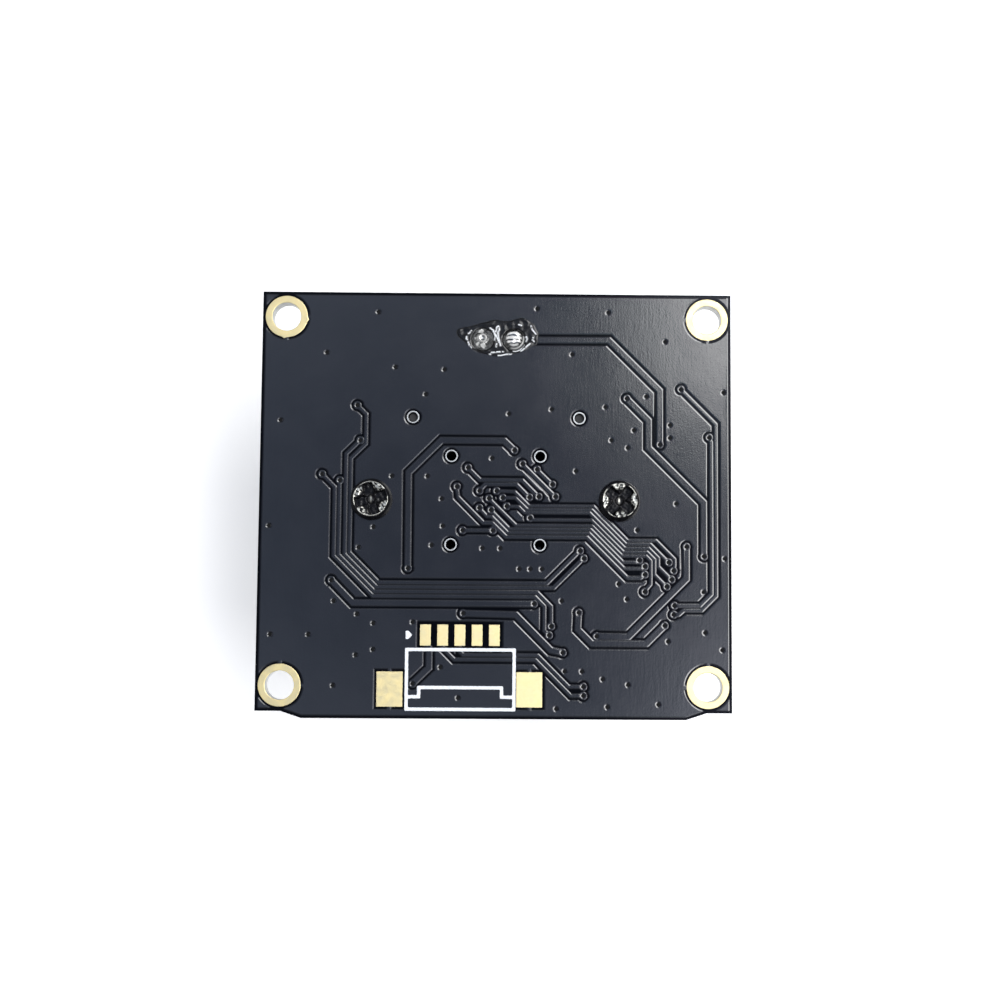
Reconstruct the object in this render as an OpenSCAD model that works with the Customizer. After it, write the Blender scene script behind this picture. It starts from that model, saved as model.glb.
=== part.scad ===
// Board camera module with an M12 lens, a microphone and a 1.25 mm pitch cable connector.
//
// Frame: the back (solder) face of the circuit board is the plane z = 0 and +Z points out of it.
// The optical axis is the Z axis, the lens looks along -Z, and +Y runs to the microphone edge.
// All lengths are in millimetres.

/* [Circuit board] */
// Width of the board
board_w = 34.5; // [32:0.5:44]
// Height of the board, without the tongue on its lower edge
board_h = 30.7; // [28:0.1:42]
// Thickness of the bare board
board_t = 1.2; // [0.8:0.1:2]
// How far the tongue stands out of the lower edge
tongue_d = 0.5; // [0.2:0.1:2]
// Width of the tongue where it meets the board
tongue_root_w = 30.8; // [24:0.1:31]
// Width of the tongue at its end
tongue_end_w = 27.8; // [20:0.1:29]
// Distance of the mounting holes from the side edges of the board
hole_inset_x = 1.75; // [1.7:0.05:3]
// Distance of the mounting holes from the upper and lower edges of the board
hole_inset_y = 1.85; // [1.7:0.05:3]
// Clear bore of a mounting hole
hole_d = 2.1; // [1.8:0.1:2.4]
// Outside of the gold ring round a mounting hole
hole_ring_d = 3.1; // [2.8:0.1:3.4]
// Side of the square on which the four small holes lie
vent_pitch = 6.5; // [6:0.1:7]
// Clear bore of a small hole
vent_d = 0.72; // [0.6:0.02:0.8]
// Outside of the ring round a small hole
vent_ring_d = 0.92; // [0.88:0.02:1.2]
// Wall of the plating inside every plated hole
plating_t = 0.04; // [0.02:0.01:0.06]

/* [Copper pattern] */
// Height of the masked copper over the bare board
copper_t = 0.04; // [0.03:0.01:0.08]
// Width of the supply tracks
supply_w = 0.4; // [0.3:0.05:0.5]
// Width of the signal tracks
signal_w = 0.2; // [0.16:0.01:0.24]
// Width of the tightly packed data bus tracks
bus_w = 0.15; // [0.1:0.01:0.18]
// Clear strip between a track or pad and the copper pour
pour_gap = 0.26; // [0.15:0.01:0.35]
// Clear strip round the mounting rings and the small rings
ring_gap = 0.2; // [0.12:0.01:0.3]
// How far the pour stays back from the board edge
edge_gap = 0.24; // [0.15:0.01:0.4]
// Width of the thermal spokes that join a ring or a pad to the pour
spoke_w = 0.2; // [0.1:0.05:0.4]
// Copper ring round a via
via_pad_d = 0.48; // [0.4:0.02:0.6]
// Hole of a via
via_d = 0.24; // [0.2:0.02:0.3]
// Smallest radius that the etching leaves in a corner
etch_r = 0.02; // [0.01:0.01:0.04]

/* [Connector] */
// Middle of the connector along the lower edge
conn_x = -2.5; // [-4:0.1:0]
// Number of contacts
conn_n = 5; // [3:1:6]
// Pitch of the contacts
conn_pitch = 1.25; // [1:0.05:1.3]
// Width of a contact pad
pad_w = 0.82; // [0.6:0.02:0.9]
// Length of a contact pad
pad_l = 1.58; // [1.2:0.02:2]
// Middle of the contact pads along Y, on the drawn board
pad_y = -9.83; // [-10.2:0.01:-9.4]
// Width of an anchor pad
anchor_w = 1.92; // [1.6:0.02:2.2]
// Length of an anchor pad
anchor_l = 2.58; // [2:0.02:3]
// Middle of the anchor pads along Y, on the drawn board
anchor_y = -13.74; // [-13.9:0.01:-13.4]
// Distance of an anchor pad from the middle of the connector
anchor_x = 5.05; // [4.9:0.01:5.6]
// Line width of the white legend
legend_w = 0.24; // [0.15:0.01:0.3]
// Height of the white legend over the copper
legend_t = 0.02; // [0.01:0.01:0.04]
// Height of the connector housing
housing_h = 3.4; // [3:0.1:4]

/* [Lens mount] */
// Side of the square foot of the lens mount
mount_w = 14.2; // [13.6:0.1:15]
// Height of the square foot
mount_foot_h = 5; // [4:0.1:6]
// Wall of the square foot
mount_wall = 1.4; // [1:0.1:1.7]
// Outside of the threaded tube
tube_d = 14; // [13.6:0.1:15]
// Height of the mount over the board
mount_h = 10.4; // [8:0.1:11.5]
// Distance between the two mounting screws
screw_pitch = 18.1; // [17:0.1:20]
// Diameter of a screw lug
lug_d = 4.8; // [4:0.1:5.2]
// Height of a screw lug
lug_h = 4; // [3.5:0.1:5]
// Shank diameter of a mounting screw
screw_d = 1.9; // [1.6:0.1:2]
// Head diameter of a mounting screw
screw_head_d = 3.05; // [2.8:0.05:3.4]
// Head height of a mounting screw
screw_head_h = 0.95; // [0.7:0.05:1.2]
// How far a mounting screw reaches into its lug
screw_grip = 2.9; // [2:0.1:3]
// Distance of the locating pins from the optical axis, along X and Y
locator_xy = 6.1; // [6:0.05:6.2]
// Diameter of a locating pin
locator_d = 0.6; // [0.4:0.05:0.6]
// Clearance of parts that slide or screw into each other
fit = 0.05; // [0.03:0.01:0.1]

/* [Lens] */
// Nominal diameter of the lens thread
thread_d = 12; // [11.8:0.1:12.2]
// Height of the front rim of the lens over the board
lens_h = 16; // [15:0.1:20]
// Length of the grip head of the lens
head_l = 3.6; // [3.4:0.1:4.5]
// Diameter of the grip head of the lens
head_d = 14; // [13.4:0.1:16]
// Height of the rear end of the lens over the board
lens_rear_h = 5.6; // [5.2:0.1:6]
// Diameter of the front element
front_glass_d = 9.5; // [9:0.1:9.8]
// Diameter of the rear elements
rear_glass_d = 7.9; // [7.4:0.1:8.2]
// Thickness of the edge of an element
glass_edge = 1.2; // [1:0.1:1.3]
// Width of the plain rim on which an element is seated
seat_w = 0.5; // [0.4:0.05:0.6]
// Side of the infrared filter
filter_w = 8.4; // [8:0.1:9]
// Thickness of the infrared filter
filter_t = 0.3; // [0.2:0.05:0.5]

/* [Microphone] */
// Middle of the capsule from side to side
mic_x = 0.1; // [-1:0.1:1]
// Distance of the middle of the capsule from the upper edge of the board
mic_inset = 3.45; // [3.3:0.05:4.5]
// Diameter of the capsule
mic_d = 6; // [5:0.1:6.4]
// Height of the capsule
mic_h = 2.7; // [2:0.1:3]
// Pitch of its two leads
lead_pitch = 2.3; // [2:0.05:2.54]
// Diameter of a lead
lead_d = 0.5; // [0.4:0.05:0.6]
// Radius of a solder joint
joint_r = 0.82; // [0.7:0.02:0.9]
// Height of a solder joint
joint_h = 0.55; // [0.4:0.05:0.8]

/* [Chips] */
// Side of the controller package
controller_w = 6; // [5:0.1:6.4]
// Number of contacts on each side of the controller
controller_n = 12; // [8:1:13]
// Contact pitch of the controller
controller_pitch = 0.4; // [0.35:0.05:0.45]
// Height of the controller package
controller_h = 0.85; // [0.7:0.05:1]
// Width of the image sensor
sensor_w = 5.6; // [4.5:0.1:5.7]
// Height of the image sensor
sensor_l = 5; // [4:0.1:5.7]

/* [Hidden] */
$fn = 48;

// A cut reaches this far past the face that it opens
eps = 0.5;
hole_at = [for (sx = [-1, 1], sy = [-1, 1])
    [sx * (board_w / 2 - hole_inset_x), sy * (board_h / 2 - hole_inset_y)]];
vent_at = [for (sx = [-1, 1], sy = [-1, 1]) [sx * vent_pitch / 2, sy * vent_pitch / 2]];
locator_at = [for (sx = [-1, 1]) [sx * locator_xy, locator_xy]];
screw_at = [for (sx = [-1, 1]) [sx * screw_pitch / 2, 0]];
mic_at = [mic_x, board_h / 2 - mic_inset];
lead_at = [for (sx = [-1, 1]) [mic_at.x + sx * lead_pitch / 2, mic_at.y]];
lower_edge = -board_h / 2 - tongue_d;
lead_hole_d = lead_d + 0.3;
screw_hole_d = screw_d + 0.3;

// The copper is drawn in grid units for a board of this size. The core round the lens stays as drawn,
// and all that lies outside the core stretches with the board.
grid = 1;
drawn_w = 34.5;
drawn_h = 30.7;
core_w = 24;
core_h = 11.8;

// Where a drawn coordinate comes to lie, for half the core, half the drawn board and half the board
function stretch(v, core, drawn, half) =
    abs(v) <= core ? v : sign(v) * (core + (abs(v) - core) * (half - core) / (drawn - core));

// Places of drawn points on the board
function laid(points) =
    [for (p = points * grid) [stretch(p.x, core_w / 2, drawn_w / 2, board_w / 2),
        stretch(p.y, core_h / 2, drawn_h / 2, board_h / 2)]];

pad_row = laid([[0, pad_y / grid]])[0].y;
anchor_row = laid([[0, anchor_y / grid]])[0].y;
pad_at = [for (i = [0:conn_n - 1]) [conn_x + (i - (conn_n - 1) / 2) * conn_pitch, pad_row]];
anchor_at = [for (sx = [-1, 1]) [conn_x + sx * anchor_x, anchor_row]];

// Supply tracks, each a run of corner points that ends in a via, a pad or a joint
supply_tracks = [
    concat([lead_at[1]], laid([[8.25, 11.93], [12, 8.2], [12, 4.2]])),
    laid([[9.57, 7.6], [11.18, 5.98], [11.18, 3.97], [15.22, -0.05], [15.22, -4]]),
    laid([[-6.35, -5], [-6.38, 2], [-4, 4.4], [0.6, 4.4], [1.33, 3.7]]),
    laid([[-11.9, -5.9], [-10.3, -7.53], [2.85, -7.53]]),
    laid([[-2.3, -8.25], [1.55, -8.33], [4.1, -10.88], [4.95, -11.05]]),
    laid([[6.1, -8.15], [6.05, -9.35], [7.07, -10.37], [11.03, -10.37], [12.35, -9.05]]),
    laid([[7.4, -9.85], [9.73, -9.87], [13.95, -5.65], [13.95, -3.3]]),
    concat([pad_at[0]], laid([[-4.72, -10.9], [-4.72, -12.2], [-5.9, -13.35]]))
];
// Signal tracks
signal_tracks = [
    laid([[15.63, 4.75], [15.78, 4.4], [15.78, -6.74], [14.94, -7.58], [13.05, -7.6]]),
    laid([[13.55, 8.3], [16.12, 5.73], [16.12, -6.87], [15.06, -7.93], [13.75, -7.93], [13.4, -8.25],
        [13, -8.25]]),
    laid([[-10.2, 6.95], [-9.53, 6.28], [-9.53, 4.1], [-10.6, 3.03], [-10.6, -3.89], [-8.45, -6.04],
        [3.78, -6.04], [6.17, -3.65]]),
    laid([[-9.95, 4.35], [-10.95, 3.35], [-10.95, -4.02], [-8.6, -6.37], [4.28, -6.37], [6.45, -4.2]]),
    laid([[-11.4, 1.4], [-11.4, -4.04], [-8.74, -6.7], [3.09, -6.7], [4.1, -7.71], [4.1, -9.15]]),
    laid([[-12.7, 1.85], [-11.75, 0.9], [-11.75, -4.14], [-8.86, -7.03], [2.94, -7.03], [3.61, -7.7],
        [3.61, -9.45], [3.95, -9.8]]),
    laid([[-2.85, 1], [-2.75, 0.23], [-0.88, -1.64], [-0.24, -1.64], [0.78, -2.66], [6.7, -2.66],
        [9.64, -5.6], [10.6, -5.6], [10.9, -5.35]]),
    laid([[-2.4, -2.2], [-0.2, -2.2]]),
    laid([[-2.05, 2.4], [-1.15, 1.5], [1.93, 1.5], [3.13, 0.3]]),
    laid([[-1.2, 0.7], [-0.75, 1.18], [1.53, 1.18], [2.45, 0.25]]),
    laid([[1.93, 2.7], [4.35, 0.3]]),
    laid([[3, 2.3], [4.12, 1.2]]),
    concat([pad_at[1]], laid([[-3.75, -10.75], [-2.91, -11.59], [2.99, -11.59], [5.55, -14.15],
        [6.45, -14.15]])),
    concat([pad_at[2]], laid([[-2.5, -11], [-2.24, -11.26], [3.16, -11.26], [5.4, -13.5], [6.45, -13.5]]))
];
// Data bus tracks, side by side
bus_tracks = [
    laid([[-1.2, -0.55], [-0.62, -1.18], [-0.27, -1.18], [0.9, -2.35], [6.85, -2.35], [9.42, -4.92],
        [10.7, -4.92], [10.9, -4.75]]),
    laid([[-0.35, -0.7], [1.03, -2.08], [6.96, -2.08], [9.33, -4.45], [10.3, -4.45], [10.5, -4.3]]),
    laid([[-0.5, 0.15], [1.5, -1.81], [7.07, -1.81], [9.24, -3.98], [11, -3.98], [11.35, -4.33],
        [11.35, -6.05], [10.9, -6.6]]),
    laid([[2.5, -1.27], [2.8, -1.4], [7.04, -1.4], [9.34, -3.7], [11.08, -3.7], [11.63, -4.25],
        [11.63, -5.35], [12.5, -6.22]]),
    laid([[0.8, -0.42], [1.7, -0.45], [2.12, -0.87], [6.89, -0.87], [9.44, -3.42], [11.2, -3.42],
        [11.91, -4.13], [11.91, -4.76], [12.85, -5.7]]),
    laid([[0.5, 0.2], [1.47, 0.2], [2.32, -0.65], [7.05, -0.65], [9.53, -3.13], [11.33, -3.13],
        [12.65, -4.45]]),
    laid([[0.05, 0.7], [1.4, 0.65], [2.43, -0.38], [7.16, -0.38], [9.64, -2.86], [11.74, -2.86],
        [13.1, -4.22], [13.1, -4.7], [13, -5.05]])
];
all_tracks = concat(supply_tracks, signal_tracks, bus_tracks);

// Whether a point is the middle of a pad or of a lead, where no via is due
function soldered(p) = len([for (q = concat(pad_at, lead_at)) if (q == p) q]) > 0;

track_vias = concat([for (t = all_tracks) if (!soldered(t[0])) t[0]], [for (t = all_tracks) t[len(t) - 1]]);
// Vias that tie the pour to the other side
pour_vias = laid([
    [-12.5, 10.85], [-8.75, 13.9], [-7.45, 9.8], [-15.8, 5.8], [-5.2, 7.8], [-3.85, 9.65], [2.95, 14.25],
    [5.55, 10.85], [0.92, 6.4], [4.05, 6.75], [8.2, 14], [12.4, 11.85], [11, 7.75], [8, 6.95], [16.7, 8.1],
    [12.75, 5.65], [10.1, 5.25], [12.75, 4.7], [8.45, 4.5], [9.65, 3.95], [5.85, 2.2], [-7.6, 1.75], [-5, 1.75],
    [-0.3, 3.1], [-3.95, 0.1], [-3.85, -1.9], [-8.9, -2], [-16.5, -1.95], [-9.95, -3.5], [-4.65, -3.3],
    [-0.95, -3.5], [0.35, -3.5], [1.75, -5], [2.55, -5], [3.4, -5], [13.2, -0.15], [10.35, -2.1],
    [16.75, -4.15], [4.85, -7.3], [9, -6.05], [9.6, -7.15], [15.3, -9.55], [12.6, -10.2], [16.55, -10.8],
    [-11.7, -7.4], [-10, -8.35], [-8.8, -9], [-5.95, -8.9], [-16.25, -9.85], [-13.5, -9.85], [-8.8, -10.9],
    [-10.05, -11.3], [-11.65, -13.5], [-3.9, -12.15], [-2.6, -14.35], [5.1, -12.4], [4.5, -15.1],
    [6.35, -12.4], [7.85, -12.95], [9.7, -13.35], [8.2, -14.95], [11.9, -14.75], [15.2, -6.6]
]);

// Corners of the board, with the tongue on the lower edge
function board_outline() =
    let (x = board_w / 2, y = board_h / 2)
    [[-x, y], [-x, -y], [-tongue_root_w / 2, -y], [-tongue_end_w / 2, lower_edge],
        [tongue_end_w / 2, lower_edge], [tongue_root_w / 2, -y], [x, -y], [x, y]];

// Square with round corners, centred
module round_square(size, r) {
    straight = size - 2 * r;
    square([size, straight], center = true);
    square([straight, size], center = true);
    for (sx = [-1, 1], sy = [-1, 1])
        translate([sx * straight / 2, sy * straight / 2])
            circle(r);
}

// Puts a child on the lens side of the board, with its own +Z pointing away from the board
module on_front(at, turn = 0) {
    translate([at.x, at.y, -board_t])
        rotate([180, 0, 0])
            rotate(turn)
                children();
}

// Flat ring with a bore
module ring(od, id, h) {
    difference() {
        cylinder(d = od, h = h);
        translate([0, 0, -eps])
            cylinder(d = id, h = h + 2 * eps);
    }
}

// ---- Circuit board ----

module pcb() {
    color("darkgreen")
        difference() {
            translate([0, 0, -board_t])
                linear_extrude(board_t)
                    polygon(board_outline());
            for (p = hole_at)
                drill(p, hole_d + 2 * plating_t);
            for (p = concat(vent_at, locator_at))
                drill(p, vent_d + 2 * plating_t);
            for (p = screw_at)
                drill(p, screw_hole_d);
            for (p = lead_at)
                drill(p, lead_hole_d);
        }
}

module drill(at, d) {
    translate([at.x, at.y, -board_t - eps])
        cylinder(d = d, h = board_t + 2 * eps);
}

// Plating of one hole: a ring on each face and the sleeve between them
module plated_hole(d, ring_d) {
    sleeve_r = d / 2 + plating_t;
    rotate_extrude()
        polygon([[d / 2, copper_t], [ring_d / 2, copper_t], [ring_d / 2, 0], [sleeve_r, 0],
            [sleeve_r, -board_t], [ring_d / 2, -board_t], [ring_d / 2, -board_t - copper_t],
            [d / 2, -board_t - copper_t]]);
}

module mounting_hole_plating() {
    color("gold")
        for (p = hole_at)
            translate(p)
                plated_hole(hole_d, hole_ring_d);
}

module small_hole_plating() {
    color("gold")
        for (p = concat(vent_at, locator_at))
            translate(p)
                plated_hole(vent_d, vent_ring_d);
}

// ---- Copper pattern on the back ----

function unit(v) = v / norm(v);

// Mitre of the runs that meet at point i: how the side of a track of half width 1 lies off that point
function mitre(points, i) =
    let (before = unit(points[max(i, 1)] - points[max(i, 1) - 1]),
        after = i == len(points) - 1 ? before : unit(points[i + 1] - points[i]))
    [-before.y - after.y, before.x + after.x] / (1 + before * after);

// One track: a band of width w along its corner points
module track(points, w) {
    last = len(points) - 1;
    polygon(concat([for (i = [0:last]) points[i] + mitre(points, i) * w / 2],
        [for (i = [last:-1:0]) points[i] - mitre(points, i) * w / 2]));
}

// Every track with the pads of its vias
module tracks() {
    for (t = supply_tracks)
        track(t, supply_w);
    for (t = signal_tracks)
        track(t, signal_w);
    for (t = bus_tracks)
        track(t, bus_w);
    for (p = track_vias)
        translate(p)
            circle(d = via_pad_d, $fn = 16);
}

module pads() {
    for (p = pad_at)
        translate(p)
            square([pad_w, pad_l], center = true);
}

module anchors() {
    for (p = anchor_at)
        translate(p)
            square([anchor_w, anchor_l], center = true);
}

module discs(at, d, sides = 32) {
    for (p = at)
        translate(p)
            circle(d = d, $fn = sides);
}

// Spokes that run from the rings towards the middle of the board, and up and down from the anchors
module spokes() {
    reach = ring_gap + spoke_w;
    for (p = hole_at) {
        translate([p.x - sign(p.x) * (hole_ring_d / 2 + reach / 2), p.y])
            square([reach + spoke_w, spoke_w], center = true);
        translate([p.x, p.y - sign(p.y) * (hole_ring_d / 2 + reach / 2)])
            square([spoke_w, reach + spoke_w], center = true);
    }
    for (p = anchor_at)
        translate(p)
            square([spoke_w, anchor_l + 2 * reach], center = true);
}

// The pour fills the board up to the clear strips round all else
module pour() {
    difference() {
        offset(delta = -edge_gap)
            polygon(board_outline());
        offset(delta = pour_gap) {
            tracks();
            pads();
        }
        offset(delta = ring_gap)
            anchors();
        discs(hole_at, hole_ring_d + 2 * ring_gap);
        discs(concat(vent_at, locator_at), vent_ring_d + 2 * ring_gap);
        discs(screw_at, screw_hole_d + 2 * ring_gap);
        discs(lead_at, 2 * joint_r + 2 * ring_gap);
    }
    spokes();
}

module back_copper() {
    color([0.16, 0.17, 0.19])
        difference() {
            linear_extrude(copper_t)
                offset(delta = -etch_r)
                    offset(delta = etch_r)
                        difference() {
                            union() {
                                pour();
                                tracks();
                            }
                            offset(delta = etch_r) {
                                pads();
                                anchors();
                            }
                            discs(hole_at, hole_ring_d + 2 * etch_r);
                            discs(lead_at, 2 * joint_r + 2 * etch_r);
                        }
            for (p = concat(track_vias, pour_vias))
                translate([p.x, p.y, -eps])
                    cylinder(d = via_d, h = copper_t + 2 * eps);
        }
}

module connector_pads() {
    color("gold")
        linear_extrude(copper_t)
            pads();
}

module anchor_pads() {
    color("gold")
        linear_extrude(copper_t)
            anchors();
}

// ---- White legend ----

// Band of the line width along a run of corner points
module legend_line(points) {
    for (i = [0:len(points) - 2]) {
        a = points[i];
        b = points[i + 1];
        translate([(a.x + b.x) / 2, (a.y + b.y) / 2])
            square([abs(a.x - b.x) + legend_w, abs(a.y - b.y) + legend_w], center = true);
    }
}

module connector_legend() {
    middle = conn_x + 0.06;
    half = anchor_x - anchor_w / 2 - legend_w / 2 - 0.08;
    left = middle - half;
    right = middle + half;
    top = pad_row - pad_l / 2 - legend_w / 2 - 0.14;
    bottom = lower_edge + 0.68;
    step_y = bottom + 0.89;
    slot_y = step_y + 0.67;
    slot = half - 0.9;
    color("white")
        translate([0, 0, copper_t])
            linear_extrude(legend_t) {
                legend_line([[left, top], [right, top], [right, bottom], [left, bottom], [left, top]]);
                legend_line([[left, step_y], [middle - slot, step_y], [middle - slot, slot_y],
                    [middle + slot, slot_y], [middle + slot, step_y], [right, step_y]]);
            }
}

// Pointer beside the first contact
module pin_one_mark() {
    color("white")
        translate([pad_at[0].x - conn_pitch, pad_row, copper_t])
            linear_extrude(legend_t)
                polygon([[-0.18, 0.3], [0.02, 0.3], [0.3, 0], [0.02, -0.3], [-0.18, -0.3]]);
}

// ---- Lens mount ----

module lens_mount() {
    roof = mount_foot_h - 1.4;
    ledge = roof + 1;
    color([0.08, 0.08, 0.09])
        on_front([0, 0]) {
            difference() {
                union() {
                    linear_extrude(mount_foot_h)
                        round_square(mount_w, 1.2);
                    cylinder(d = tube_d, h = mount_h - 0.4);
                    translate([0, 0, mount_h - 0.4])
                        cylinder(d1 = tube_d, d2 = tube_d - 0.6, h = 0.4);
                    for (p = screw_at)
                        lug(p.x);
                }
                translate([0, 0, -eps])
                    linear_extrude(roof + eps)
                        round_square(mount_w - 2 * mount_wall, 0.6);
                cylinder(d = filter_w - 1.2, h = mount_h);
                translate([0, 0, ledge])
                    cylinder(d = thread_d, h = mount_h);
                translate([0, 0, mount_h - 0.3])
                    cylinder(d1 = thread_d, d2 = thread_d + 0.8, h = 0.4);
                for (p = screw_at)
                    translate([p.x, 0, -eps])
                        cylinder(d = screw_d + 2 * fit, h = screw_grip + 0.3 + eps);
                for (p = locator_at)
                    translate([p.x, -p.y, -eps])
                        cylinder(d = vent_ring_d + 4 * fit, h = copper_t + fit + eps);
            }
            for (p = locator_at)
                translate([p.x, -p.y, -board_t + 0.3])
                    cylinder(d = locator_d, h = board_t - 0.3 + eps);
        }
}

// Screw lug with the web that joins it to the foot
module lug(x) {
    inner = mount_w / 2 - 0.5;
    translate([x, 0, 0])
        cylinder(d = lug_d, h = lug_h);
    translate([x > 0 ? inner : x, -lug_d / 2, 0])
        cube([abs(x) - inner, lug_d, lug_h]);
}

// Pan head screws with a cross recess, turned by how far each was driven
module lens_mount_screws() {
    color([0.13, 0.13, 0.14]) {
        translate([screw_at[0].x, 0, copper_t])
            screw(18);
        translate([screw_at[1].x, 0, copper_t])
            screw(44);
    }
}

module screw(turn) {
    r = screw_head_d / 2;
    crown = screw_head_h;
    difference() {
        rotate_extrude()
            polygon([[0, crown], [0.35 * r, crown - 0.02], [0.6 * r, crown - 0.1], [0.82 * r, crown - 0.26],
                [0.94 * r, crown - 0.45], [r, crown - 0.65], [r, 0.06], [r - 0.06, 0], [screw_d / 2, 0],
                [screw_d / 2, -board_t - copper_t - screw_grip + 0.4],
                [screw_d / 2 - 0.4, -board_t - copper_t - screw_grip], [0, -board_t - copper_t - screw_grip]]);
        rotate(turn)
            translate([0, 0, crown - 0.6])
                cross_recess();
    }
}

module cross_recess() {
    wing = 0.36;
    span = 1.7;
    linear_extrude(1) {
        square([span, wing], center = true);
        square([wing, span], center = true);
    }
    translate([0, 0, 0.1])
        cylinder(d1 = 0.5, d2 = 1.1, h = 0.6);
}

module ir_cut_filter() {
    roof = mount_foot_h - 1.4;
    color([0.75, 0.55, 0.65])
        on_front([0, 0])
            translate([-filter_w / 2, -filter_w / 2, roof - filter_t])
                cube([filter_w, filter_w, filter_t]);
}

// ---- Lens ----

// Heights over the board of the seats inside the lens. They hang from the front rim
stop_t = 0.3;
front_spacer_t = 0.6;
rear_spacer_t = 1.2;
clamp_t = 0.6;
stop_d = 3.2;
clamp_seat = lens_h - 2.3;
front_seat = clamp_seat - glass_edge;
stop_seat = front_seat - stop_t;
front_spacer_seat = stop_seat - front_spacer_t;
middle_seat = front_spacer_seat - glass_edge;
spacer_seat = middle_seat - rear_spacer_t;
rear_seat = spacer_seat - glass_edge;

module lens_barrel() {
    head_seat = lens_h - head_l;
    root = thread_d / 2 - fit;
    front_bore = front_glass_d / 2 + fit;
    rear_bore = rear_glass_d / 2 + fit;
    rear_lip = rear_glass_d / 2 - seat_w;
    grip_r = head_d / 2;
    color([0.1, 0.1, 0.11])
        on_front([0, 0])
            rotate_extrude()
                polygon([[rear_lip, lens_rear_h], [root - 0.5, lens_rear_h], [root, lens_rear_h + 0.5],
                    [root, head_seat], [grip_r - 0.3, head_seat], [grip_r, head_seat + 0.3],
                    [grip_r, lens_h - 0.4], [grip_r - 0.4, lens_h], [front_bore + 1.1, lens_h],
                    [front_bore, clamp_seat + clamp_t + 0.3], [front_bore, stop_seat], [rear_bore, stop_seat],
                    [rear_bore, rear_seat], [rear_lip, rear_seat]]);
}

// Points of a spherical cap of the given height over a disc of radius r, from the axis outwards
function cap(r, rise, z, n = 8) =
    let (R = (r * r + rise * rise) / (2 * rise), a = asin(r / R))
    [for (i = [0:n]) [R * sin(a * i / n), z + rise - R * (1 - cos(a * i / n))]];

// Lens element of revolution with two convex faces and a plain rim
module element(d, base, front_rise, rear_rise) {
    r = d / 2;
    face = r - seat_w - fit;
    front = cap(face, front_rise, base + glass_edge);
    rear = cap(face, rear_rise, 0);
    rotate_extrude()
        polygon(concat(front, [[r, base + glass_edge], [r, base]],
            [for (i = [len(rear) - 1:-1:0]) [rear[i].x, base - rear[i].y]]));
}

module front_lens_element() {
    color([0.55, 0.6, 0.7])
        on_front([0, 0])
            element(front_glass_d, front_seat, 0.9, 0.1);
}

module middle_lens_element() {
    color([0.6, 0.65, 0.7])
        on_front([0, 0])
            element(rear_glass_d, middle_seat, 0.35, 0.35);
}

module rear_lens_element() {
    color([0.6, 0.65, 0.7])
        on_front([0, 0])
            element(rear_glass_d, rear_seat, 0.3, 0.5);
}

module lens_spacers() {
    color("silver")
        on_front([0, 0]) {
            translate([0, 0, spacer_seat])
                ring(rear_glass_d, rear_glass_d - 2 * seat_w, rear_spacer_t);
            translate([0, 0, front_spacer_seat])
                ring(rear_glass_d, rear_glass_d - 2 * seat_w, front_spacer_t);
        }
}

// Thin blind with a thicker edge, which keeps it clear of the curved glass
module aperture_stop() {
    blind_t = 0.12;
    color([0.1, 0.1, 0.1])
        on_front([0, 0])
            translate([0, 0, stop_seat]) {
                ring(front_glass_d - 2 * seat_w, stop_d, blind_t);
                ring(front_glass_d, front_glass_d - 2 * seat_w, stop_t);
            }
}

module lens_retaining_ring() {
    color([0.12, 0.12, 0.13])
        on_front([0, 0])
            translate([0, 0, clamp_seat])
                ring(front_glass_d, front_glass_d - 2 * seat_w, clamp_t);
}

// Three beads of locking compound in the groove between the lens thread and the mount
module thread_lock_beads() {
    bead = 0.5;
    color([0.85, 0.85, 0.8])
        on_front([0, 0])
            for (a = [30, 150, 270])
                rotate(a)
                    translate([thread_d / 2 - fit + bead, 0, mount_h])
                        difference() {
                            sphere(bead);
                            translate([-1, -1, -2])
                                cube(2);
                        }
}

// ---- Image sensor ----

sensor_die_h = 0.45;

module image_sensor() {
    color([0.2, 0.25, 0.22])
        on_front([0, 0])
            translate([-sensor_w / 2, -sensor_l / 2, 0])
                cube([sensor_w, sensor_l, sensor_die_h]);
}

module sensor_cover_glass() {
    color([0.6, 0.75, 0.8])
        on_front([0, 0])
            translate([-sensor_w / 2, -sensor_l / 2, sensor_die_h])
                cube([sensor_w, sensor_l, 0.4]);
}

// ---- Chips on the lens side ----

controller_at = [11, -8.3];
flash_at = [-12.2, 6.5];
regulator_at = [[8.8, 12.1], [-8.8, 12.1]];
crystal_at = [12.8, 4.8];
inductor_at = [12.4, 9.4];
// Middle and turn of each two-terminal chip part
capacitor_at = [
    [9.5, -4.3, 0], [11, -4.3, 0], [12.5, -4.3, 0], [15.2, -6, 90], [15.2, -7.6, 90], [15.2, -9.2, 90],
    [9.4, -12.4, 0], [11.2, -12.4, 0], [6, 12.9, 90], [6, 10.9, 90], [-6, 12.9, 90], [-6, 10.9, 90],
    [10, 6.2, 90], [15.4, 8.6, 90], [-12.2, 10, 0], [-10.4, -13.4, 0]
];
resistor_at = [
    [-10.2, -4.6, 90], [-11.4, -4.6, 90], [-12.6, -4.6, 90], [-13.8, -4.6, 90], [-10.2, -6.8, 90],
    [-11.4, -6.8, 90], [-12.6, -6.8, 90], [-13.8, -6.8, 90], [-10.4, -9.2, 0], [-12.4, -9.2, 0],
    [5.4, -13.6, 0], [15.6, 5.2, 90], [15.6, 3.4, 90], [15.6, 1.6, 90]
];
cap_l = 1.6;
cap_w = 0.8;
cap_h = 0.8;
res_l = 1.6;
res_w = 0.8;
res_h = 0.45;
terminal = 0.35;

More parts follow.
